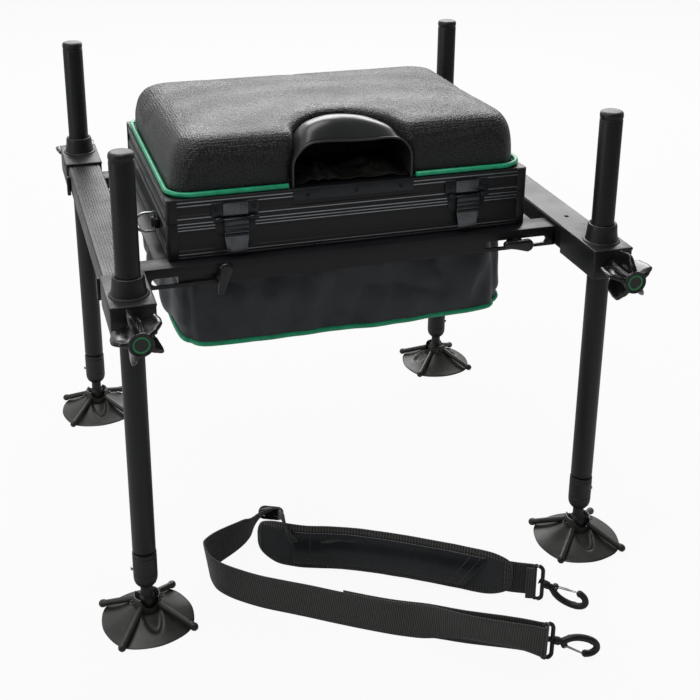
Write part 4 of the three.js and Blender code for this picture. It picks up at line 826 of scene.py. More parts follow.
def foot_shell():
    """The tent-shaped sole: four sagging panels between the ribs, scooped below the ball at front and back."""
    made = turned([(FOOT_NECK + (FOOT_REACH - FOOT_NECK) * i / FOOT_RINGS,
                    FOOT_CROWN - FOOT_FALL * i / FOOT_RINGS)
                   for i in range(FOOT_RINGS + 1)], FOOT_RIM)

    def spread(x, y, z):
        radius, angle = math.hypot(x, y), math.atan2(y, x)
        share = max(0, (radius - FOOT_NECK) / (FOOT_REACH - FOOT_NECK))
        corner = math.sin(2 * angle) ** 2
        reach = FOOT_REACH + 2.6 * corner ** 2
        grown = FOOT_NECK + share * (reach - FOOT_NECK)
        height = FOOT_CROWN - FOOT_FALL * share - 2.2 * math.sin(math.pi * share)
        fx, fy = grown * math.cos(angle), grown * math.sin(angle)
        # A scoop below the ball, where the leg leans out
        off = math.hypot(fx / 11.5, max(0, abs(fy) - 14) / 24)
        height -= 5.4 * (1 - ease(off, 0.66, 1.0)) * ease(abs(fy), 8, 14)
        return fx, fy, max(1.0, height)

    pick(reshaped(made, spread))
    modified(made, "SOLIDIFY", thickness=2.4 * MM, offset=-1.0, use_even_offset=True)
    return rounded(made, 0.7, 2, 50)


def foot_parts():
    """One foot: its sole, the notched clip and socket that hold the ball, four ribs and two ears."""
    shell = foot_shell()
    ring = turned(CLIP_PROFILE, ROUND)
    seat = turned(SOCKET_PROFILE, 48)
    for y in (-14, 14):
        notch = moved(bar("y", 9.8, -5, 5, (0, 0), 40), (0, y, 34.2))
        cut(ring, notch)
        lip = moved(bar("y", 8.4, -4.5, 4.5, (0, 0), 40), (0, y * 0.8, 35.4))
        cut(seat, lip)
    pieces = [shell, rounded(ring, 0.5, 2, 40), seat]
    reach, fall = RIB_END[0] - RIB_START[0], RIB_START[1] - RIB_END[1]
    run = math.hypot(reach, fall)
    rib = turned([(0, 0), (2.6, 0), (3.3, 2), (3.4, run - 4.4), (4.2, run - 2.8), (RIB_TIP, run - 0.6),
                  *arc((0, run), RIB_TIP, 12, 80, 5), (0, run + RIB_TIP)], 24)
    moved(rib, (0, 0, 0), (0, 90 + math.degrees(math.atan2(fall, reach)), 0))
    moved(rib, (RIB_START[0], 0, RIB_START[1]))
    pieces += [moved(twin(rib), (0, 0, 0), (0, 0, angle)) for angle in (45, 135, 225, 315)]
    bpy.data.objects.remove(rib)
    for side in (-1, 1):
        ear = ((14.6, -3.2, 26.2), (17.6, -2.8, 25.4), (18.4, 0, 24.6), (17.6, 2.8, 25.4), (14.6, 3.2, 26.2))
        pieces.append(tube([(side * x, y, z) for x, y, z in ear], 1.1, False, 12, 4))
    return joined(*pieces)


class SEATBOX_OT_feet(SeatBoxStep):
    """Mud feet that snap over the legs' balls"""

    bl_idname = "seatbox.feet"
    bl_label = "Mud feet"

    def execute(self, context):
        foot = foot_parts()
        for corner, side, end in CORNERS:
            made = moved(twin(foot), (side * LEG_X, end * LEG_Y, 0), (0, 0, FOOT_TURNS[corner]))
            shown(made, f"{corner}_mud_foot", "foot", f"foot_{corner}", f"mud_foot_{corner}", smooth=40)
        bpy.data.objects.remove(foot)
        return {"FINISHED"}


def corner_block():
    """The front left block, at its place."""
    x, y = -LEG_X, -LEG_Y
    body = rounded(block((x - BLOCK_HALF, x + BLOCK_HALF), (-BLOCK_FACE, -BLOCK_TAIL),
                         (BLOCK_BASE, BLOCK_TOP - 2.6)), 1.8, 3)
    lid = rounded(block((x - BLOCK_HALF - 0.5, x + BLOCK_HALF + 0.5), (-BLOCK_FACE - 0.5, -BLOCK_TAIL + 0.5),
                        (BLOCK_TOP - 3.4, BLOCK_TOP)), 1.1, 3)
    collar = moved(turned(COLLAR_PROFILE, ROUND), (x, y, 0))
    boss = bar("y", 12.4, -BLOCK_FACE - 0.3, -BLOCK_FACE + 3, (x, KNOB_HEIGHT), 48)
    whole = cut(cut(body, lid, "UNION"), boss, "UNION")
    whole = cut(whole, collar, "UNION")
    return cut(whole, bar("z", LEG_RADIUS + 0.35, BLOCK_BASE - 5, BLOCK_TOP + 30, (x, y), ROUND))


def star_knob():
    """A knob along +Z with five ridges, deep valleys between them and a round hub with a ring."""
    ring_heights = [0.35 + 1.2 * i for i in range(39)]
    stem = [(9.4 if z < 3 else KNOB_CORE, z) for z in ring_heights]
    made = turned([(0, 0.35), *stem, *KNOB_HUB], 120)

    def lobed(x, y, z):
        radius = math.hypot(x, y)
        if radius < 5 or z > 47:
            return x, y, z
        angle = math.atan2(y, x)
        nearest = round(angle / (math.tau / 5)) * math.tau / 5
        ridge = max(0, math.cos((angle - nearest) * 2.5)) ** 5
        length = ease(z, 8, 17) * (1 - 0.5 * ease(z, 38, 47)) * (0.86 + 0.14 * ease(z, 17, 32))
        grown = radius * (1 - 0.1 * (1 - ridge) * ease(z, 8, 20)) + (KNOB_REACH - KNOB_CORE) * ridge * length
        return x * grown / radius, y * grown / radius, z

    return painted(reshaped(made, lobed), finish("hub_ring"),
                   lambda middle, normal: 6.6 < math.hypot(middle.x, middle.y) < 8.6 and middle.z > 49.6)


class SEATBOX_OT_corners(SeatBoxStep):
    """Corner blocks that clamp the legs, and their star knobs"""

    bl_idname = "seatbox.corners"
    bl_label = "Corner blocks and knobs"

    def execute(self, context):
        base = corner_block()
        knob = joined(star_knob(), bar("z", 4.0, -16.5, 2, (0, 0), 24))
        for corner, side, end in CORNERS:
            shown(twin(base, (-side, -end, 1)), f"{corner}_corner_block", "nylon", "frame",
                  f"corner_block_{corner}")
            turned_knob = moved(twin(knob), (0, 0, 0), (0, 0, KNOB_TURNS[corner]))
            turned_knob = moved(turned_knob, (0, 0, 0), (90, 0, 0))
            turned_knob = moved(turned_knob, (side * LEG_X, end * BLOCK_FACE, KNOB_HEIGHT),
                                (0, 0, 180 if end > 0 else 0))
            shown(turned_knob, f"{corner}_star_knob", "gloss", f"knob_{corner}", f"clamp_knob_{corner}",
                  smooth=50)
        bpy.data.objects.remove(base)
        bpy.data.objects.remove(knob)
        return {"FINISHED"}


def grooved(start, end, count, width, depth):
    """Points along an edge with square grooves. The edge runs along the first coordinate."""
    pitch = (end - start) / (count + 1)
    points = []
    for i in range(1, count + 1):
        middle = start + pitch * i
        half = math.copysign(width / 2, end - start)
        points += [(middle - half, 0), (middle - half, -depth), (middle + half, -depth), (middle + half, 0)]
    return points


def side_rail(side):
    """A rectangular extrusion, ribbed along its top on the left and along its inner side on the right."""
    x0, x1 = sorted((side * RAIL_INNER, side * RAIL_OUTER))
    foot = [(x0 + 0.8, RAIL_BASE), (x1 - 0.8, RAIL_BASE), (x1, RAIL_BASE + 0.8)]
    head = [(x1, RAIL_TOP - 1.4), (x1 - 1.4, RAIL_TOP)], [(x0 + 1.4, RAIL_TOP), (x0, RAIL_TOP - 1.4)]
    top, inner = [], []
    if side < 0:
        top = [(x, RAIL_TOP + z) for x, z in grooved(x1 - 2, x0 + 2, 11, 1.3, 0.6)]
    else:
        inner = [(x0 - depth, z) for z, depth in grooved(RAIL_TOP - 2, RAIL_BASE + 2, 7, 1.4, 0.6)]
    outline = [*foot, *head[0], *top, *head[1], *inner, (x0, RAIL_BASE + 0.8)]
    made = slab(outline, "y", -RAIL_END, RAIL_END)
    if side > 0:
        hole = bar("z", 3.0, RAIL_TOP - 4, RAIL_TOP + 4, (LEG_X, -155.4), 32)
        made = cut(made, hole)
    return made


def stadium(low, high, height, steps=10):
    """A slot's outline from low to high, rounded at both ends, about SLOT_CENTRE."""
    radius = height / 2
    return [*arc((high - radius, SLOT_CENTRE), radius, -90, 90, steps),
            *arc((low + radius, SLOT_CENTRE), radius, 90, 270, steps)]


def cross_rail(end):
    """An angle extrusion with two slots, and the tongue and lug that join it to the side rails."""
    face, back = end * CROSS_FACE, end * (CROSS_FACE - CROSS_WALL)
    inner = end * CROSS_INNER
    outline = [(face, CROSS_BASE), (face, CROSS_TOP), (inner, CROSS_TOP), (inner, CROSS_TOP - CROSS_WALL),
               (back, CROSS_TOP - CROSS_WALL), (back, CROSS_BASE)]
    made = rounded(slab(outline, "x", -239.65, 239.65), 0.6, 2)
    for low, high in SLOTS:
        made = cut(made, slab(stadium(low, high, SLOT_HEIGHT), "y",
                              *sorted((end * (CROSS_FACE - 6), end * (CROSS_FACE + 4)))))
    in_slot = [(low - 0.4, high + 0.4) for low, high in SLOTS]
    painted(made, finish("rib_edge"),
            lambda middle, normal: abs(normal.y) < 0.3 and abs(middle.z - SLOT_CENTRE) < 4.6
            and any(low < middle.x < high for low, high in in_slot))
    parts = [made]
    for side in (-1, 1):
        parts.append(block((side * 236, side * 282.6), (end * 166.6, end * 169.6), (361, 375)))
        lug = block((side * 280.35, side * 284.85), (end * 164.1, end * 171.1), (355.5, 380.5))
        parts.append(rounded(lug, 1.3, 3))
    return joined(*parts)


class SEATBOX_OT_rails(SeatBoxStep):
    """Side rails, slotted cross rails and the bars that carry the case"""

    bl_idname = "seatbox.rails"
    bl_label = "Rails"

    def execute(self, context):
        for name, side in SIDES:
            shown(side_rail(side), f"{name}_side_rail", "anodised", "frame", f"side_rail_{name}", smooth=25)
            shown(cad_copy(f"carrier_bar_{name}", 0.4), f"{name}_carrier_bar", "anodised", "seat_module",
                  f"carrier_bar_{name}")
        for name, end in (("front", -1), ("rear", 1)):
            shown(cross_rail(end), f"{name}_cross_rail", "anodised", "frame", f"cross_rail_{name}")
        for name, (x, tilt) in WINGS.items():
            # A teardrop blade: broad and full at one end, slim at the other
            outline = [*arc((10.5, 0), 7.6, -84, 84, 12), (-2, 5.4), *arc((-14.6, 0), 4.2, 96, 264, 8),
                       (-2, -5.4)]
            paddle = rounded(slab(outline, "y", -CROSS_FACE - 12.2, -CROSS_FACE - 4.6), 2.9, 5, 40)
            boss = moved(turned(WING_BOSS, 40), (0, -CROSS_FACE, 0), (90, 0, 0))
            shank = bar("y", 2.9, -CROSS_FACE - 3, -CROSS_FACE + 8, (0, 0), 24)
            whole = moved(joined(paddle, boss, shank), (x, 0, SLOT_CENTRE), (0, -tilt, 0))
            shown(whole, f"{name}_wing_screw", "gloss", f"wing_{name}", f"wing_screw_{name}", smooth=50)
        return {"FINISHED"}


def ring_wall(stations, half_x, half_y, radius=3.0, capped=False):
    """A wall round a rectangle, drawn through stations of offset and height."""
    offset, height = stations[0]
    outline = rounded_outline((-half_x - offset, -half_y - offset), (half_x + offset, half_y + offset), radius,
                              5)
    made = chain([(x, y, height) for x, y in (*outline, outline[0])])
    bpy.ops.mesh.select_all(action="SELECT")
    bpy.ops.mesh.remove_doubles(threshold=0.005 * MM)
    if capped:
        bpy.ops.mesh.edge_face_add()
    for (before, low), (after, high) in zip(stations, stations[1:]):
        bpy.ops.mesh.extrude_region_move(TRANSFORM_OT_translate={"value": (0, 0, (high - low) * MM)})
        scale = ((half_x + after) / (half_x + before), (half_y + after) / (half_y + before), 1)
        bpy.ops.transform.resize(value=scale, center_override=(0, 0, 0))
    tidy_faces()
    return made


def rib(height, tall=0.55, wide=1.1):
    """Stations of a raised line round the case."""
    return [(0, height - wide / 2 - 0.25), (tall, height - wide / 2), (tall, height + wide / 2),
            (0, height + wide / 2 + 0.25)]


def corner_posts(low, high):
    """Plain angle strips over the case's four corners."""
    thick, leg, radius = 0.75, 11.5, 3.6
    x, y = CASE_X + thick, CASE_Y + thick
    outer = arc((x - radius, y - radius), radius, 0, 90, 6)
    outline = [(x - leg, y), (x - leg, y - thick - 0.6), (x - thick - 0.6, y - thick - 0.6),
               (x - thick - 0.6, y - leg), (x, y - leg),
               *outer]
    post = rounded(slab(outline, "z", low, high), 0.3, 2)
    posts = [twin(post, (sx, sy, 1)) for sx in (-1, 1) for sy in (-1, 1)]
    bpy.data.objects.remove(post)
    return posts


def hinge_barrels(stations, arm):
    """Hinge barrels at stations along the rear edge, each with its arm."""
    parts = []
    for x in stations:
        parts.append(rod("x", 3.8, x - BARREL_HALF, x + BARREL_HALF, (HINGE_Y, HINGE_Z), 32))
        arm_block = block((x - BARREL_HALF, x + BARREL_HALF), (CASE_Y - 1.5, HINGE_Y - 2.5), arm)
        parts.append(rounded(arm_block, 0.3, 2))
    return parts


def faces_front(middle, normal):
    """Whether a face looks to the front."""
    return normal.y < -0.9


def silver_lines(made):
    """Shows bare metal on the raised lines round the case."""
    return painted(made, finish("rib_edge"),
                   lambda middle, normal: max(abs(middle.x) - CASE_X, abs(middle.y) - CASE_Y) > 0.5
                   and abs(normal.z) < 0.3)


def keeper(x):
    """The stamped plate on the tray that a latch pulls on."""
    outline = [(x - 21, 423.6), (x - 22, 420), (x - 22, 413), (x - 17, 407.5), (x + 17, 407.5), (x + 22, 413),
               (x + 22, 420),
               (x + 21, 423.6)]
    plate = rounded(slab(outline, "y", -CASE_Y - 1.6, -CASE_Y + 0.3), 0.5, 2)
    hook = rounded(block((x - 9, x + 9), (-CASE_Y - 3.2, -CASE_Y), (403.5, 408.5)), 0.7, 2)
    return [plate, hook]


class SEATBOX_OT_case(SeatBoxStep):
    """The shallow case, its hinged lid frame, hinge and strap rings"""

    bl_idname = "seatbox.case"
    bl_label = "Case and lid frame"

    def execute(self, context):
        tray = [(0, TRAY_BASE), *rib(386.0), *rib(389.4), (0, 393.2), (-0.8, 393.8), (-0.8, 413.6), (0, 414.2),
                *rib(417.0),
                *rib(420.4), (0, 423.0), (0.5, 423.4), (0.5, TRAY_TOP), (-2, TRAY_TOP), (-2, 385.35),
                (-12.7, 385.35),
                (-12.7, TRAY_BASE), (0, TRAY_BASE)]
        body = silver_lines(ring_wall(tray, CASE_X, CASE_Y))
        parts = [body, *corner_posts(TRAY_BASE, TRAY_TOP), *hinge_barrels((-120, 0, 120), (419, 424.2)),
                 *keeper(-LATCH_X), *keeper(LATCH_X)]
        for side in (-1, 1):
            barrel = rod("z", 4.0, RING_Z - 5.5, RING_Z + 5.5, (side * RING_X, RING_Y), 28, 0.5)
            strap = rounded(block((side * (CASE_X - 0.3), side * (RING_X + 1)), (RING_Y - 9, RING_Y + 9),
                                  (RING_Z - 5.5, RING_Z + 5.5)),
                            0.8, 2)
            parts += [barrel, strap]
        shown(joined(*parts), "case_tray", "anodised", "seat_module", "case_body")
        lid = [(-2, 448.8), (-2, LID_BASE), (0.5, LID_BASE), (0.5, 426.6), (0, 427.0), *rib(430.0), (0, 433.2),
               (-0.8, 433.8),
               (-0.8, 440.6), (0, 441.2), *rib(444.2), *rib(448.2), (0, 451.4), (-0.6, LID_TOP)]
        frame_piece = silver_lines(ring_wall(lid, CASE_X, CASE_Y, capped=True))
        parts = [frame_piece, *corner_posts(LID_BASE, LID_TOP - 0.3), *hinge_barrels((-60, 60), (425.8, 431))]
        shown(joined(*parts), "lid_surround", "anodised", "lid", "lid_frame")
        shown(moved(turned(HINGE_ROD, 24), (0, HINGE_Y, HINGE_Z), (0, 90, 0)), "hinge_rod", "steel",
              "seat_module", "hinge_pin")
        for name, side in SIDES:
            arch = [(10.5 + RING_RADIUS * math.cos(a), RING_RADIUS * math.sin(a))
                    for a in (math.radians(d) for d in range(90, -91, -15))]
            points = [(side * u, 0, v) for u, v in ((0, -RING_RADIUS), (0, RING_RADIUS), *arch)]
            ring = moved(tube(points, 1.5, True, 16), (side * RING_X, RING_Y, RING_Z))
            shown(ring, f"{name}_d_ring", "steel", f"ring_{name}", f"strap_ring_{name}", smooth=60)
        return {"FINISHED"}


class SEATBOX_OT_latches(SeatBoxStep):
    """Draw latches and the sill below the pocket"""

    bl_idname = "seatbox.latches"
    bl_label = "Latches and sill"

    def execute(self, context):
        for name, side in SIDES:
            x = side * LATCH_X
            shown(self.plate(x), f"{name}_latch_plate", "black_steel", "lid", f"latch_plate_{name}")
            shown(self.lever(x), f"{name}_latch_lever", "black_steel", f"latch_{name}", f"latch_lever_{name}")
        shown(self.sill(), "pocket_sill_bar", "black_steel", "lid", "pocket_sill")
        return {"FINISHED"}

    def plate(self, x):
        """A latch's plate on the lid, with its raised face, pin, two ears and two screws."""
        face = -CASE_Y - CLEARANCE
        outline = [(x - 26, 427.5), (x - 24.8, 426.2), (x - 15, 426.2), (x - 14, 428), (x + 14, 428),
                   (x + 15, 426.2), (x + 24.8, 426.2),
                   (x + 26, 427.5), (x + 26, 443), (x + 25, 444.2), (x - 25, 444.2), (x - 26, 443)]
        parts = [rounded(slab(outline, "y", face - 1.5, face), 0.4, 2)]
        rise = rounded(slab(rounded_outline((x - 13.6, 430.4), (x + 13.6, 444.6), 1.0, 3), "y", face - 3.0,
                            face), 0.5, 2)
        parts.append(painted(rise, finish("brushed_steel"), faces_front))
        parts.append(bar("x", 1.4, x - 25, x + 25, (-LATCH_PIN_Y, LATCH_PIN_Z + 1.4), 24))
        for way in (-1, 1):
            parts.append(rod("x", 2.7, *sorted((x + way * 15.6, x + way * 22.2)),
                             (-LATCH_PIN_Y, LATCH_PIN_Z + 1.4)))
            parts.append(rounded(block((x + way * 16.2, x + way * 21.6), (-LATCH_PIN_Y, face), (425.6, 429.4)),
                                 0.5, 2))
            parts.append(moved(turned(LATCH_SCREW, 28), (x + way * 20.6, face - 1.5, 438.4), (90, 0, 0)))
        return joined(*parts)

    def lever(self, x):
        """A latch's lever, with three steps for the thumb and a rolled lower edge."""
        front = -LATCH_PIN_Y - 2.4
        outline = [(x - 13.2, 426), (x - 13.2, 405), (x - 11.6, 396), (x - 10.8, 390), (x - 9.6, 388.9),
                   (x + 9.6, 388.9), (x + 10.8, 390),
                   (x + 11.6, 396), (x + 13.2, 405), (x + 13.2, 426)]
        flat = rounded(slab(outline, "y", front, front + 1.8), 0.5, 2)
        painted(flat, finish("brushed_steel"), faces_front)
        parts = [flat, rod("x", 2.7, x - 13.2, x + 13.2, (-LATCH_PIN_Y, LATCH_PIN_Z))]
        for height, half, out in ((419.6, 13.0, 1.3), (414.6, 13.2, 2.3), (409.6, 12.9, 1.8)):
            step = rounded(block((x - half, x + half), (front - out, front + 0.5),
                                 (height - 1.5, height + 1.5)), 0.9, 3)
            parts.append(step)
        parts.append(rounded(bar("x", 1.1, x - 10.6, x + 10.6, (front + 0.6, 389.6), 20), 0.2, 1, 60))
        return joined(*parts)

    def sill(self):
        """The riveted bar below the pocket's mouth."""
        face = -CASE_Y - CLEARANCE
        plate = rounded(block((-POCKET_HALF, POCKET_HALF), (face - 1.5, face), (439.15, 451.65)), 0.5, 2)
        painted(plate, finish("brushed_steel"), lambda middle, normal: normal.z > 0.6)
        parts = [plate]
        for x in (-53.0, 2.0, 54.0):
            parts.append(moved(turned(SILL_RIVET, 28), (x, face - 1.5, 445.4), (90, 0, 0)))
        return joined(*parts)


# Cushion, pocket, piping and bag

def round_corner(x, y, half_x, half_y, radius):
    """Pulls a place in plan in towards rounded corners."""
    over_x, over_y = abs(x) - (half_x - radius), abs(y) - (half_y - radius)
    if over_x <= 0 or over_y <= 0:
        return x, y
    shrink = max(over_x, over_y) / math.hypot(over_x, over_y)
    return (math.copysign(half_x - radius + over_x * shrink, x),
            math.copysign(half_y - radius + over_y * shrink, y))


def cushion_block(sizes):
    """The cushion before its pocket is cut: leaning sides, a tight front crease, and a crowned top."""
    front, rear, edge = sizes.cushion_front / MM, sizes.cushion_rear / MM, sizes.cushion_edge / MM
    pick()
    bpy.ops.mesh.primitive_cube_add(size=2 * MM, location=(0, 0, 0))
    made = bpy.context.object
    bpy.ops.object.mode_set(mode="EDIT")
    bpy.ops.mesh.select_all(action="SELECT")
    bpy.ops.mesh.subdivide(number_cuts=47)
    bpy.ops.object.mode_set(mode="OBJECT")

    def inset_at(height, side):
        """How far a side leans in at a share of its height. It starts a little outside its foot."""
        share, power = CUSHION_LEAN[side]
        return edge * share * (1 - math.sqrt(max(0, 1 - height ** power))) - 1.4

    def shape(x, y, z):
        across, along = math.sin(x * math.pi / 2), math.sin(y * math.pi / 2)
        turn = (z + 1) / 2
        height = math.sin(turn * math.pi / 2) ** 0.9
        rise = front + (rear - front) * (along + 1) / 2
        ends = inset_at(height, "right" if x > 0 else "left")
        back, face = inset_at(height, "rear"), inset_at(height, "front")
        deep = back + (face - back) * ease(-along, -0.5, 0.7)
        half_x, half_y = CUSHION_X - ends, CUSHION_Y - deep
        cx, cy = round_corner(across * half_x, along * half_y, half_x, half_y, 27)
        dome = 2.0 * (1 - across ** 2) * (1 - along ** 2) if turn > 0.999 else 0
        return cx, cy, CUSHION_BASE + rise * height + dome

    return reshaped(made, shape)


def pocket_room():
    """The hollow for the pocket and its hood: a tunnel from the front and a round scoop from the top."""
    mouth = POCKET_HALF + 1.2
    outline = rounded_outline((-mouth, 400), (mouth, CUSHION_BASE + POCKET_ROOF + 1), 22, 8)
    outline = [(x, max(CUSHION_BASE + 0.6, z)) for x, z in outline if z > 410 or abs(x) > mouth - 1]
    tunnel = slab(outline, "y", -CUSHION_Y - 10, POCKET_DEPTH - CUSHION_Y)
    pick()
    bpy.ops.mesh.primitive_cylinder_add(
        vertices=ROUND, radius=1, depth=1, location=(0, -CUSHION_Y * MM, (CUSHION_BASE + SCOOP[2]) * MM),
        scale=[size * MM for size in SCOOP])
    return cut(tunnel, applied(), "UNION")


CLOTH_STEPS = 20


def stuffed(made, voxel, pressure, cap):
    """Remeshes a padded shape evenly, lets its cover swell as cloth by no more than a cap, and smooths it."""
    modified(made, "REMESH", mode="VOXEL", voxel_size=voxel * MM)
    modified(made, "SMOOTH", factor=0.5, iterations=2)
    rest = [point.co.copy() for point in made.data.vertices]
    pick(made)
    cloth = made.modifiers.new("Cloth", "CLOTH")
    settings = cloth.settings
    settings.quality = 4
    settings.use_pressure = True
    settings.uniform_pressure_force = pressure
    settings.tension_stiffness = 30
    settings.compression_stiffness = 30
    settings.bending_stiffness = 2
    settings.effector_weights.gravity = 0
    cloth.point_cache.frame_start, cloth.point_cache.frame_end = 1, CLOTH_STEPS
    for step in range(1, CLOTH_STEPS + 1):
        bpy.context.scene.frame_set(step)
    bpy.ops.object.modifier_apply(modifier=cloth.name)
    bpy.context.scene.frame_set(1)
    for point, start in zip(made.data.vertices, rest):
        shift = point.co - start
        if shift.length > cap * MM:
            point.co = start + shift.normalized() * cap * MM
        if start.z < (CUSHION_BASE + 3) * MM:
            point.co = start
    made.data.update()
    modified(made, "SMOOTH", factor=0.5, iterations=3)
    return modified(made, "SUBSURF", levels=1, render_levels=1)


def mound(share):
    """A bell curve: 1 at the middle, and nearly 0 at twice its width."""
    return math.exp(-share ** 2)


def hood_rows():
    """The hood: a flap over the pocket's mouth that peaks towards the left and dips in a wave along its lip."""
    across, deep, corner = 56, 22, 24.0
    rows = []
    straight, flat, bend = POCKET_ROOF - corner, (POCKET_HALF - corner) * 2, corner * math.pi / 2
    total = straight * 2 + flat + bend * 2
    for i in range(across + 1):
        s = total * i / across
        if s < straight:
            x, z, nx, nz = -POCKET_HALF, s, -1, 0
        elif s < straight + bend:
            a = (s - straight) / corner
            nx, nz = -math.cos(a), math.sin(a)
            x, z = -POCKET_HALF + corner * (1 - math.cos(a)), straight + corner * math.sin(a)
        elif s < straight + bend + flat:
            x, z, nx, nz = -POCKET_HALF + corner + s - straight - bend, POCKET_ROOF, 0, 1
        elif s < total - straight:
            a = (s - straight - bend - flat) / corner
            nx, nz = math.sin(a), math.cos(a)
            x, z = POCKET_HALF - corner * (1 - math.sin(a)), straight + corner * math.cos(a)
        else:
            x, z, nx, nz = POCKET_HALF, total - s, 1, 0
        row = []
        for j in range(deep + 1):
            v = j / deep * (POCKET_DEPTH - 1.5)
            peak = math.hypot((x + 14) / (58 if x < -14 else 74), (v - 22) / 40)
            swell = 25 * max(0, 1 - peak ** 2.2) * ease(v, -8, 14)
            wave = (2.6 * mound((x - 46) / 20) - 2.4 * mound((x - 4) / 30) + 1.2 * mound((x + 46) / 16))
            wave *= 1 - ease(v, 0, 26)
            fold = 0.5 * noise.noise(Vector((x / 16, v / 11, 3.1)))
            lift = max(0, nz) * (swell + wave + fold)
            row.append((x - nx * 1.2, v - CUSHION_Y - 3.4 + 0.6 * (1 - nz),
                        CUSHION_BASE + 0.6 + z - nz * 1.2 + lift))
        rows.append(row)
    return rows


class SEATBOX_OT_cushion(SeatBoxStep):
    """Cushion with its pocket, the hood over the pocket's mouth, the lining and the piping"""

    bl_idname = "seatbox.cushion"
    bl_label = "Cushion and pocket"

    def execute(self, context):
        sizes = context.scene.seat_box_sizes
        body = cut(cushion_block(sizes), pocket_room())
        body = stuffed(body, voxel=5.0, pressure=3.0, cap=3.0)
        shown(body, "padded_seat", "cover", "lid", "seat_cushion", smooth=80)
        rows = hood_rows()
        hood = modified(grid(rows), "SOLIDIFY", thickness=1.6 * MM, offset=0)
        hood = modified(hood, "SUBSURF", levels=1, render_levels=1)
        shown(hood, "pocket_flap", "hood", "lid", "pocket_hood", smooth=60)
        lip = [row[0] for row in rows]
        welt = joined(tube([(x, y - 0.4, z) for x, y, z in lip], 1.35, False, 12, 2),
                      tube([row[-4] for row in rows[10:-9]], 1.0, False, 10, 2),
                      tube([row[-6] for row in rows[12:-11]], 0.8, False, 10, 2))
        shown(welt, "pocket_flap_welt", "hood", "lid", smooth=60)
        lining = shown(self.lining(), "pocket_lining", "lining", "lid", smooth=60)
        shown(self.piping(sizes), "cushion_piping", "piping", "lid", "seat_piping", smooth=60)
        return {"FINISHED"}

    def lining(self):
        """Loose cloth on the pocket's floor, crumpled in two heaps."""
        rows = []
        for i in range(61):
            x = -66 + 132 * i / 60
            row = []
            for j in range(41):
                y = -144 + 92 * j / 40
                heap = (15 * math.exp(-((x + 34) / 22) ** 2 - ((y + 118) / 26) ** 2)
                        + 17 * math.exp(-((x - 30) / 24) ** 2 - ((y + 112) / 24) ** 2))
                folds = abs(noise.noise(Vector((x / 19, y / 24, 0.7)))) * 9
                folds += abs(noise.noise(Vector((x / 8, y / 9, 5.0)))) * 3
                row.append((x, y, CUSHION_BASE + 1.2 + heap * (0.55 + folds / 9) + folds * 0.35))
            rows.append(row)
        return modified(grid(rows), "SOLIDIFY", thickness=1.0 * MM, offset=1)

    def piping(self, sizes):
        """The cord in the seam round the cushion's foot, open at the pocket's mouth, with its sewn edge."""
        radius = sizes.piping / MM / 2
        x, y, corner = CASE_X - 3, CASE_Y - 3, 26.0
        gap = POCKET_HALF + 4.0
        centres = ((x - corner, -y + corner, -90), (x - corner, y - corner, 0), (-x + corner, y - corner, 90),
                   (-x + corner, -y + corner, 180))
        points = [(gap, -y)]
        for cx, cy, start in centres:
            points += arc((cx, cy), corner, start, start + 90, 10)
        points.append((-gap, -y))
        line = [(px, py, CUSHION_BASE + 3.0) for px, py in points]
        cord = tube(line, radius, False, 16)
        flange = slab_band([(px * 0.985, py * 0.982, CUSHION_BASE) for px, py in points], 1.6)
        return joined(rounded(cord, 0.25, 1, 60), flange)


def slab_band(line, tall):
    """A thin upright band along a line, such as the sewn edge of the piping."""
    made = grid([[(x, y, z), (x, y, z + tall)] for x, y, z in line])
    return modified(made, "SOLIDIFY", thickness=1.2 * MM, offset=0)


def bag_point(angle, depth, slack):
    """A place on the bag's side, at an angle in plan. Depth is 0 at the hem and 1 at the lower edge."""
    power = 9.0
    c, s = math.cos(angle), math.sin(angle)
    reach = (abs(c) ** power + abs(s) ** power) ** (-1 / power)
    x, y = c * reach * BAG_X, s * reach * BAG_Y
    x, y = round_corner(x, y, BAG_X, BAG_Y, 27)
    # The ends swell above rounded lower corners, and the front and back hang nearly flat to the piping.
    end = ease(abs(x), BAG_X - 45, BAG_X - 4)
    swell = 5.5 * ease(depth, 0.1, 0.62) + (5.5 if x < 0 else 1.0) * end * math.sin(math.pi * min(1,
                                                                                                  depth * 1.1))
    out = swell
    way = Vector((x / BAG_X ** 3, y / BAG_Y ** 3, 0)).normalized()
    pleats = noise.noise(Vector((x / 26 + depth * 0.8, y / 26, depth * 1.3))) * 2.1
    pleats += abs(noise.noise(Vector((x / 52 - depth * 0.9, y / 52, depth * 2.0 + 4)))) * 1.9
    small = noise.noise(Vector((x / 14, y / 14, depth * 5 + 9))) * 0.4
    out += slack * (pleats - 0.6 + small) * math.sin(math.pi * min(1, depth * 0.97)) ** 0.6
    sag = (3.2 * ease(x, 20, BAG_X) - 2.2 * noise.noise(Vector((x / 60, y / 60, 2.0)))) * depth ** 3
    height = BAG_TOP + (BAG_BOTTOM - BAG_TOP) * depth + sag
    px, fallen = round_corner(x + way.x * out, height - BAG_TOP, BAG_X + 9, BAG_TOP - BAG_BOTTOM, 24)
    return px, y + way.y * out, BAG_TOP + fallen


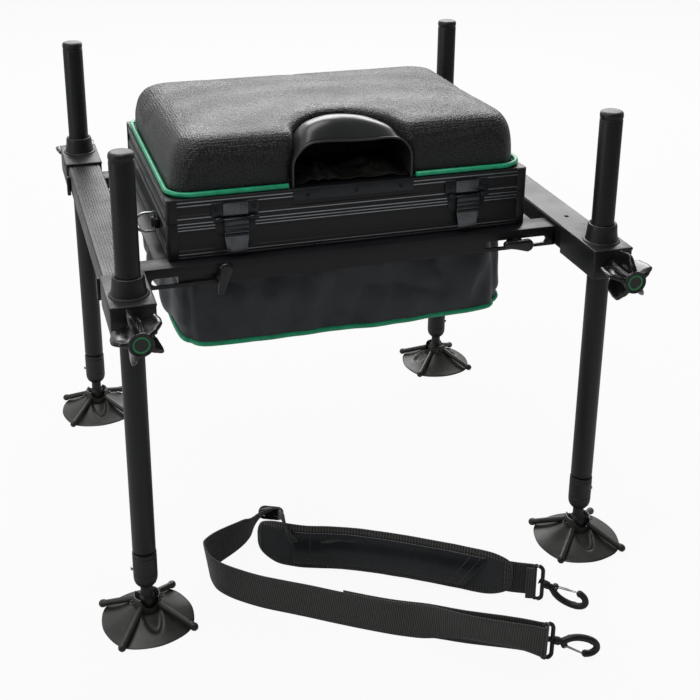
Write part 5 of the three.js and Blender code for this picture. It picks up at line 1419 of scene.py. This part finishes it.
class SEATBOX_OT_bag(SeatBoxStep):
    """Soft bag that hangs in the case, with piping along its lower edge"""

    bl_idname = "seatbox.bag"
    bl_label = "Bag"

    def execute(self, context):
        slack = context.scene.seat_box_sizes.bag_slack / MM
        around, deep = 320, 34
        angles = [math.tau * i / around for i in range(around)]
        rows = [[bag_point(a, j / deep, slack) for a in angles] for j in range(deep + 1)]
        base = rows[-1]
        rings = 14
        for k in range(1, rings + 1):
            share = k / rings
            rows.append([(x * (1 - share), y * (1 - share), z - 1.6 * ease(share, 0, 0.12)
                          + 2.2 * ease(share, 0.1, 0.9)
                          + 0.9 * noise.noise(Vector((x * (1 - share) / 45, y * (1 - share) / 45,
                                                      6.0))) * ease(share, 0, 0.3))
                         for x, y, z in base])
        hem = [[(x * 1.028, y * 1.038, BAG_TOP + 0.8) for x, y, _ in rows[0]],
               [(x, y, BAG_TOP + 1.0) for x, y, _ in rows[0]]]
        cloth = grid(hem + rows, closed=True)
        pick(cloth)
        bpy.ops.object.mode_set(mode="EDIT")
        tidy_faces()
        cloth = modified(cloth, "SOLIDIFY", thickness=1.4 * MM, offset=-1)
        shown(cloth, "hanging_bag", "bag", "seat_module", "gear_bag", smooth=80)
        centre = [(x * 1.004, y * 1.006, z + 1.2) for x, y, z in rows[deep]]
        shown(tube(centre, 2.9, True, 12), "bag_piping", "piping", "seat_module", smooth=60)
        return {"FINISHED"}


# Shoulder strap

def dense(points, parts):
    """A smooth line through points, with extra points between them."""
    line = [Vector(p) for p in points]
    out = []
    for i in range(len(line) - 1):
        a, b = line[max(0, i - 1)], line[i]
        c, d = line[i + 1], line[min(len(line) - 1, i + 2)]
        for k in range(parts):
            t = k / parts
            out.append(0.5 * (2 * b + (c - a) * t + (2 * a - 5 * b + 4 * c - d) * t * t
                              + (3 * b - a - 3 * c + d) * t ** 3))
    out.append(line[-1])
    return out


def level_normals(line):
    """Sideways directions along a line, level with the floor."""
    ways = []
    for i in range(len(line)):
        way = line[min(len(line) - 1, i + 1)] - line[max(0, i - 1)]
        ways.append(Vector((-way.y, way.x, 0)).normalized())
    return ways


def lengths(line):
    """The distance along a line at each of its points."""
    run = [0.0]
    for here, there in zip(line, line[1:]):
        run.append(run[-1] + (there - here).length)
    return run


def partway(points, place):
    """The point at a place counted in steps along a list, which may lie between two of them."""
    low = max(0, min(len(points) - 2, int(place)))
    return points[low].lerp(points[low + 1], place - low)


def hill(value, low, high, soft):
    """1 between two limits, falling to 0 over a soft distance outside them."""
    return ease(value, low - soft, low) * (1 - ease(value, high, high + soft))


def at_left_bend(place):
    """Whether a place on the strap's route lies past its left bend."""
    return place.x < -178 and place.y < -183


class SEATBOX_OT_strap(SeatBoxStep):
    """Shoulder strap: webbing on its edge, its pad, slider, swivel loops, snap hooks and wire gates"""

    bl_idname = "seatbox.strap"
    bl_label = "Shoulder strap"

    def execute(self, context):
        places, folds = self.route()
        line, folds = dense(places, 3), dense(folds, 3)
        run, ways = lengths(line), level_normals(line)
        turn = max(range(len(line)), key=lambda i: line[i].x - line[i].y)
        rows, middle = [], []
        for i, (point, way) in enumerate(zip(line, ways)):
            width, lean_x, lean_y = folds[i]
            # By the near hook the outer layer lifts off the floor in a low arch.
            raised = hill(run[turn] - run[i], *ARCH_SPAN)
            arch = ARCH_HEIGHT * raised
            lean_x += (-0.06 - lean_x) * raised
            lean_y += (-0.27 - lean_y) * raised
            up = Vector((lean_x, lean_y, math.sqrt(1 - lean_x ** 2 - lean_y ** 2)))
            foot = point - way * (0.45 * arch) + Vector((0, 0, arch))
            bunched = (1 - width / WEB_WIDTH) * 1.3
            wave = 0.9 * noise.noise(Vector((run[i] / 45, 0.4, 0)))
            rows.append([foot + up * (width * k / 8) + way * (wave * (k / 8) + bunched * math.sin(2.2 * k))
                         for k in range(9)])
            middle.append((foot + up * (width / 2)) * MM)
        web = modified(grid(rows), "SOLIDIFY", thickness=WEB_THICKNESS * MM, offset=0)
        web = rounded(web, 0.35, 1, 60)
        shown(web, "strap_band", "webbing", "shoulder_strap", "strap_webbing", smooth=50)
        on_strap = [*self.pad(), self.slider()]
        for name, (place, angle, flip) in STATIONS.items():
            on_strap += [self.loop(name, place, angle), self.hook(name, place, angle, flip),
                         self.gate(name, place, angle, flip)]
        return {"FINISHED"}

    def route(self):
        """The webbing's lower edge, and its width and lean. On the pad it runs on the side that shows."""
        pad = [Vector((x, y, 0)) for x, y in PAD_ROUTE]
        last = len(PAD_ROUTE) - 1
        line = [Vector(place) for place in STRAP_ROUTE]
        leave = next(i for i, at in enumerate(line) if at.x < -30 and at.y > -235)
        arrive = next(i for i in range(leave, len(line)) if at_left_bend(line[i]))
        places = []
        for at in line[:leave]:
            near = min(range(len(pad)), key=lambda i: (pad[i].xy - at.xy).length)
            way = (pad[min(last, near + 1)] - pad[max(0, near - 1)]).normalized()
            share = ease(17 - near, 0, 3) * (1 - ease((pad[near].xy - at.xy).length, 7, 13))
            places.append(at + (Vector((way.y, -way.x, 0)) * PAD_FACE
                                + Vector(PAD_SHIFT) * (1 - near / last)) * share)
        folds = [(WEB_WIDTH, 0, 0)] * len(places)
        places += [Vector(climb[:3]) + Vector(PAD_SHIFT) * ease(-climb[1], 120, 180) for climb in STRAP_CLIMB]
        folds += [climb[3:] for climb in STRAP_CLIMB]
        for at in line[arrive:]:
            share = 1 - ease(at.x, 20, 95)
            places.append(at)
            folds.append((WEB_WIDTH, STRAP_LEAN[0] * share, STRAP_LEAN[1] * share))
        return places, folds

    def pad(self):
        """The shoulder pad: a soft body bound at its edge, a smooth panel over its middle, and its seams."""
        shift = Vector(PAD_SHIFT)
        steps = len(PAD_ROUTE) - 1
        line = dense([shift * (1 - i / steps) + Vector((x, y, 0)) for i, (x, y) in enumerate(PAD_ROUTE)], 4)
        ways = level_normals(line)
        count = len(line)
        rows = []
        for i, (point, way) in enumerate(zip(line, ways)):
            near = min(i, count - 1 - i) / (count - 1) * 2 * 4.2
            narrow = 0.3 + 0.7 * math.sqrt(max(0, 1 - (1 - min(1, near)) ** 2))
            row = []
            for k in range(28):
                turn = math.tau * k / 28
                up, out = math.cos(turn), math.sin(turn)
                level = math.copysign(abs(up) ** 0.55, up)
                crown = 3.4 if out < 0 else 2.6
                side = math.copysign(abs(out) ** 0.7, out) * crown * (0.75 + 0.25 * narrow)
                ripple = 0.5 * noise.noise(Vector((i / 5, level * 1.4, 2)))
                place = point + way * (side + ripple)
                row.append((place.x, place.y, PAD_BASE + PAD_TALL / 2 + level * PAD_TALL / 2 * narrow))
            rows.append(row)
        body = grid(rows, closed=True)
        pick(body)
        bpy.ops.object.mode_set(mode="EDIT")
        bpy.ops.mesh.select_all(action="SELECT")
        bpy.ops.mesh.select_mode(type="EDGE")
        bpy.ops.mesh.select_all(action="DESELECT")
        bpy.ops.mesh.select_non_manifold()
        bpy.ops.mesh.edge_face_add()
        bpy.ops.mesh.select_mode(type="VERT")
        tidy_faces()
        body = modified(body, "SUBSURF", levels=1, render_levels=1)
        ends = [Vector((x, y)) for x, y in (PAD_ROUTE[0], PAD_ROUTE[-1])]
        painted(body, finish("mesh"), lambda at, way: 9.5 < at.z < 49
                and min((at.xy - end).length for end in ends) > 12)
        shown(body, "shoulder_pad", "binding", "shoulder_strap", "strap_pad", smooth=60)
        first, last = int(count * 0.17), int(count * 0.87)
        panel_rows = []
        for i in range(first, last):
            slant = (i - first) / (last - first)
            row = []
            for k in range(15):
                share = k / 14
                height = 8.5 + share * (PAD_TALL - 15.5)
                crown = 5.2 - 1.6 * share ** 3 + 3.4 * math.sin(math.pi * share ** 0.8) ** 0.8
                along = i + (share - 0.5) * 7 * ease(slant, 0.3, 0.8)
                place = partway(line, along) - partway(ways,
                                                       along) * (crown
                                                                 + 0.5 * noise.noise(Vector((i / 9, share * 2,
                                                                                             7))))
                row.append((place.x, place.y, height))
            panel_rows.append(row)
        panel = modified(grid(panel_rows), "SOLIDIFY", thickness=1.2 * MM, offset=0)
        panel = modified(panel, "SUBSURF", levels=1, render_levels=1)
        shown(panel, "pad_panel", "panel", "shoulder_strap", smooth=60)
        seams = [tube(panel_rows[k], 0.45, False, 8) for k in (5, -6, -3)]
        seam = joined(*[moved(s, tuple(-ways[first] * 0.55)) for s in seams])
        shown(seam, "pad_stitching", "webbing", "shoulder_strap", smooth=60)
        return [body, panel, seam]

    def slider(self):
        """Tri-glide slider, lying on the folded webbing: an oval frame and a wide crowned bar."""
        ring = [(x, y, -1.2) for x, y in rounded_outline((-13.5, -6.5), (13.5, 6.5), 5.5, 8)]
        parts = [tube(ring, 2.1, True, 16)]
        rows = []
        for i in range(25):
            along = -13 + 26 * i / 24
            half = 5.4 * math.sqrt(max(0.15, 1 - (along / 14.5) ** 2))
            rows.append([(along, half * (k / 4 - 1), 3.2 - 2.2 * (k / 4 - 1) ** 2 - 0.004 * along ** 2)
                         for k in range(9)])
        parts.append(rounded(modified(grid(rows), "SOLIDIFY", thickness=1.8 * MM, offset=0), 0.4, 2, 40))
        made = moved(joined(*parts), (0, 0, 0), (38, 0, 0))
        moved(made, SLIDER_AT, (0, 4, -20))
        return shown(made, "strap_slider", "nylon", "shoulder_strap", "slider_buckle", smooth=50)

    def set_down(self, made, place, angle):
        """Turns a piece about Z and sets it at a place on the floor."""
        return moved(made, (*place, 0), (0, 0, angle))

    def pitched(self, made):
        """Turns a piece drawn along X to the hub's pitch and moves it to the hub."""
        return moved(made, (LOOP_REACH, 0, (LOOP_BASE + LOOP_TOP) / 2), (0, HOOK_PITCH, 0))

    def loop(self, name, place, angle):
        """The wire loop that the webbing goes through, with the hub that the hook turns in."""
        low, high = LOOP_BASE + 2.3, LOOP_TOP - 2.3
        ring = [(x, 0, z) for x, z in rounded_outline((0, low), (LOOP_REACH - 2.3, high), 6.0, 6)]
        wire = tube(ring, 2.3, True, 16)
        hub = moved(turned(LOOP_HUB, 32), (0, 0, 0), (0, 90, 0))
        return shown(self.set_down(joined(wire, self.pitched(hub)), place, angle), f"{name}_swivel_loop",
                     "nylon", "shoulder_strap", f"swivel_loop_{name}", smooth=60)

    def hook_point(self, share, flip):
        """A place on a hook, from shares of its length along it and up, or down where it is flipped."""
        x, z = share
        return (x * HOOK_LENGTH + HUB_LENGTH + 0.35, 0, z * HOOK_LENGTH * (-1 if flip else 1))

    def hook(self, name, place, angle, flip):
        """A snap hook: its bent body with two rails, the boss that holds the gate, a round tip and its post."""
        points = [self.hook_point(share, flip) for share in HOOK_LINE]
        parts = [tube(points, 3.7, False, 20, 4)]
        edge = []
        for k in range(11):
            rise = math.sin(math.pi * (0.12 + 0.8 * k / 10))
            edge.append(self.hook_point((0.16 + 0.62 * k / 10, 0.118 + 0.098 * rise), flip))
        parts += [tube([(x, way * 2.1, z * 0.99) for x, _, z in edge], 1.3, False, 12, 3) for way in (-1, 1)]
        pin = self.hook_point(GATE_PIVOT, flip)
        parts.append(rod("y", 3.6, -2.4, 2.4, (pin[0] - 0.9, pin[2] + (-0.9 if flip else 0.9)), 32, 0.6))
        tip = self.hook_point(HOOK_LINE[-1], flip)
        pick()
        bpy.ops.mesh.primitive_uv_sphere_add(segments=24, ring_count=14, radius=3.9 * MM,
                                             location=Vector(tip) * MM)
        parts.append(applied())
        parts.append(moved(turned(HOOK_POST, 28), (0, 0, 0), (0, 90, 0)))
        whole = self.set_down(self.pitched(joined(*parts)), place, angle)
        return shown(whole, f"{name}_snap_hook", "nylon", f"hook_{name}", f"snap_hook_{name}", smooth=60)

    def gate(self, name, place, angle, flip):
        """The bent wire that closes a hook, and the pin that it turns on."""
        start, end = self.hook_point(GATE_PIVOT, flip), self.hook_point(GATE_TIP, flip)
        out = 1 if flip else -1
        wire = [(start[0], -1.4, start[2]), (end[0] - 1, -1.1, end[2] + out * 0.3),
                (end[0] + 0.6, 0, end[2] + out * 0.4),
                (end[0] - 1, 1.1, end[2] + out * 0.3), (start[0], 1.4, start[2])]
        parts = [tube(wire, 0.62, False, 10, 4), bar("y", 0.9, -2.9, 2.9, (start[0], start[2]), 16)]
        whole = self.set_down(self.pitched(joined(*parts)), place, angle)
        return shown(whole, f"{name}_wire_gate", "steel", f"gate_{name}", f"wire_gate_{name}", smooth=60)


# Camera, floor and light

class SEATBOX_OT_stage(SeatBoxStep):
    """Camera, floor, world and lamps"""

    bl_idname = "seatbox.stage"
    bl_label = "Stage"

    def execute(self, context):
        scene = context.scene
        yaw, pitch, roll = (math.radians(a) for a in (CAMERA_YAW, CAMERA_PITCH, CAMERA_ROLL))
        ahead = Vector((math.sin(yaw) * math.cos(pitch), math.cos(yaw) * math.cos(pitch), -math.sin(pitch)))
        level = Vector((math.cos(yaw), -math.sin(yaw), 0))
        upright = level.cross(ahead)
        right = level * math.cos(roll) + upright * math.sin(roll)
        up = upright * math.cos(roll) - level * math.sin(roll)
        lens = bpy.data.cameras.new("photo_camera")
        lens.sensor_width = CAMERA_SENSOR
        lens.lens = CAMERA_LENS
        lens.shift_y = CAMERA_SHIFT
        camera = linked("photo_camera", lens)
        turn = Matrix((right, up, -ahead)).transposed().to_4x4()
        camera.matrix_world = Matrix.Translation(Vector(CAMERA_PLACE) * MM) @ turn
        scene.camera = camera
        scene.view_settings.view_transform = "Standard"
        self.floor()
        self.world(scene)
        for row in LAMPS:
            self.lamp(*row)
        return {"FINISHED"}

    def lamp(self, name, place, aim, size, power):
        """A soft rectangular lamp that the camera doesn't see."""
        data = bpy.data.lights.new(name, "AREA")
        data.shape = "RECTANGLE"
        data.size, data.size_y = size
        data.energy = power
        made = linked(name, data)
        made.visible_camera = False
        made.matrix_world = (Matrix.Translation(place)
                             @ (Vector(aim) - Vector(place)).to_track_quat("-Z", "Y").to_matrix().to_4x4())

    def floor(self):
        """A floor that the camera sees nearly white and that keeps the object's shadow."""
        pick()
        bpy.ops.mesh.primitive_plane_add(size=FLOOR_SIZE, location=(0, 0, 0))
        made = bpy.context.object
        made.name = "studio_floor"
        material, tree = finish_of("white_studio_floor")
        ray = add_node(tree, "LightPath")
        paint = add_node(tree, "BsdfPrincipled", {"Base Color": (0.5, 0.5, 0.5, 1), "Roughness": 0.9,
                         "Specular IOR Level": 0.0})
        glow = add_node(tree, "Emission", {"Color": (1, 1, 1, 1), "Strength": 1.0})
        share = add_node(tree, "Math", {"operation": "MULTIPLY", 1: 0.93},
                         {0: ray.outputs["Is Camera Ray"]})
        mixed = add_node(tree, "MixShader", None, {0: share.outputs[0], 1: paint.outputs[0],
                                                             2: glow.outputs[0]})
        add_node(tree, "OutputMaterial", None, {"Surface": mixed.outputs[0]})
        made.data.materials.append(material)

    def world(self, scene):
        """A pale room, white where the camera sees it and dimmer in its light."""
        world = bpy.data.worlds.new("pale_studio")
        scene.world = world
        world.use_nodes = True
        tree = world.node_tree
        tree.nodes.clear()
        ray = add_node(tree, "LightPath")
        place = add_node(tree, "TexCoord")
        apart = add_node(tree, "SeparateXYZ", None, {0: place.outputs["Generated"]})
        # The studio is white behind the object and dim behind the photographer.
        depth = add_node(tree, "MapRange", {"interpolation_type": "SMOOTHSTEP", "From Min": -0.3,
                                                      "From Max": 0.7,
                         "To Min": 0.1, "To Max": 0.8}, {"Value": apart.outputs["Y"]})
        seen = add_node(tree, "Math", {"operation": "MAXIMUM"},
                        {0: ray.outputs["Is Glossy Ray"], 1: ray.outputs["Is Transmission Ray"]})
        dim = add_node(tree, "Mix", {"data_type": "FLOAT", 2: 0.42},
                       {0: seen.outputs[0], 3: depth.outputs[0]})
        white = add_node(tree, "Math", {"operation": "MAXIMUM"},
                         {0: dim.outputs[0], 1: ray.outputs["Is Camera Ray"]})
        sky = add_node(tree, "Background", {"Color": (1, 1, 1, 1)}, {"Strength": white.outputs[0]})
        add_node(tree, "OutputWorld", None, {"Surface": sky.outputs[0]})


STEPS = (SEATBOX_OT_stage, SEATBOX_OT_strap, SEATBOX_OT_legs, SEATBOX_OT_feet, SEATBOX_OT_corners,
         SEATBOX_OT_rails,
         SEATBOX_OT_case, SEATBOX_OT_latches, SEATBOX_OT_cushion, SEATBOX_OT_bag)


class SEATBOX_PT_panel(bpy.types.Panel):
    """Sizes, colours and steps of the seat box"""

    bl_idname = "SEATBOX_PT_panel"
    bl_label = "Seat box"
    bl_space_type = "VIEW_3D"
    bl_region_type = "UI"
    bl_category = "Seat box"

    def draw(self, context):
        column = self.layout.column()
        for group in (context.scene.seat_box_sizes, context.scene.seat_box_colours):
            for name in type(group).__annotations__:
                column.prop(group, name)
        for step in STEPS:
            column.operator(step.bl_idname)


CLASSES = (SeatBoxSizes, SeatBoxColours, *STEPS, SEATBOX_PT_panel)


def register():
    for made in CLASSES:
        bpy.utils.register_class(made)
    bpy.types.Scene.seat_box_sizes = bpy.props.PointerProperty(type=SeatBoxSizes)
    bpy.types.Scene.seat_box_colours = bpy.props.PointerProperty(type=SeatBoxColours)


def unregister():
    del bpy.types.Scene.seat_box_colours
    del bpy.types.Scene.seat_box_sizes
    for made in reversed(CLASSES):
        bpy.utils.unregister_class(made)


def main():
    """Builds the whole object, one step after another."""
    register()
    for step in STEPS:
        group, name = step.bl_idname.split(".")
        getattr(getattr(bpy.ops, group), name)()


if __name__ == "__main__":
    main()
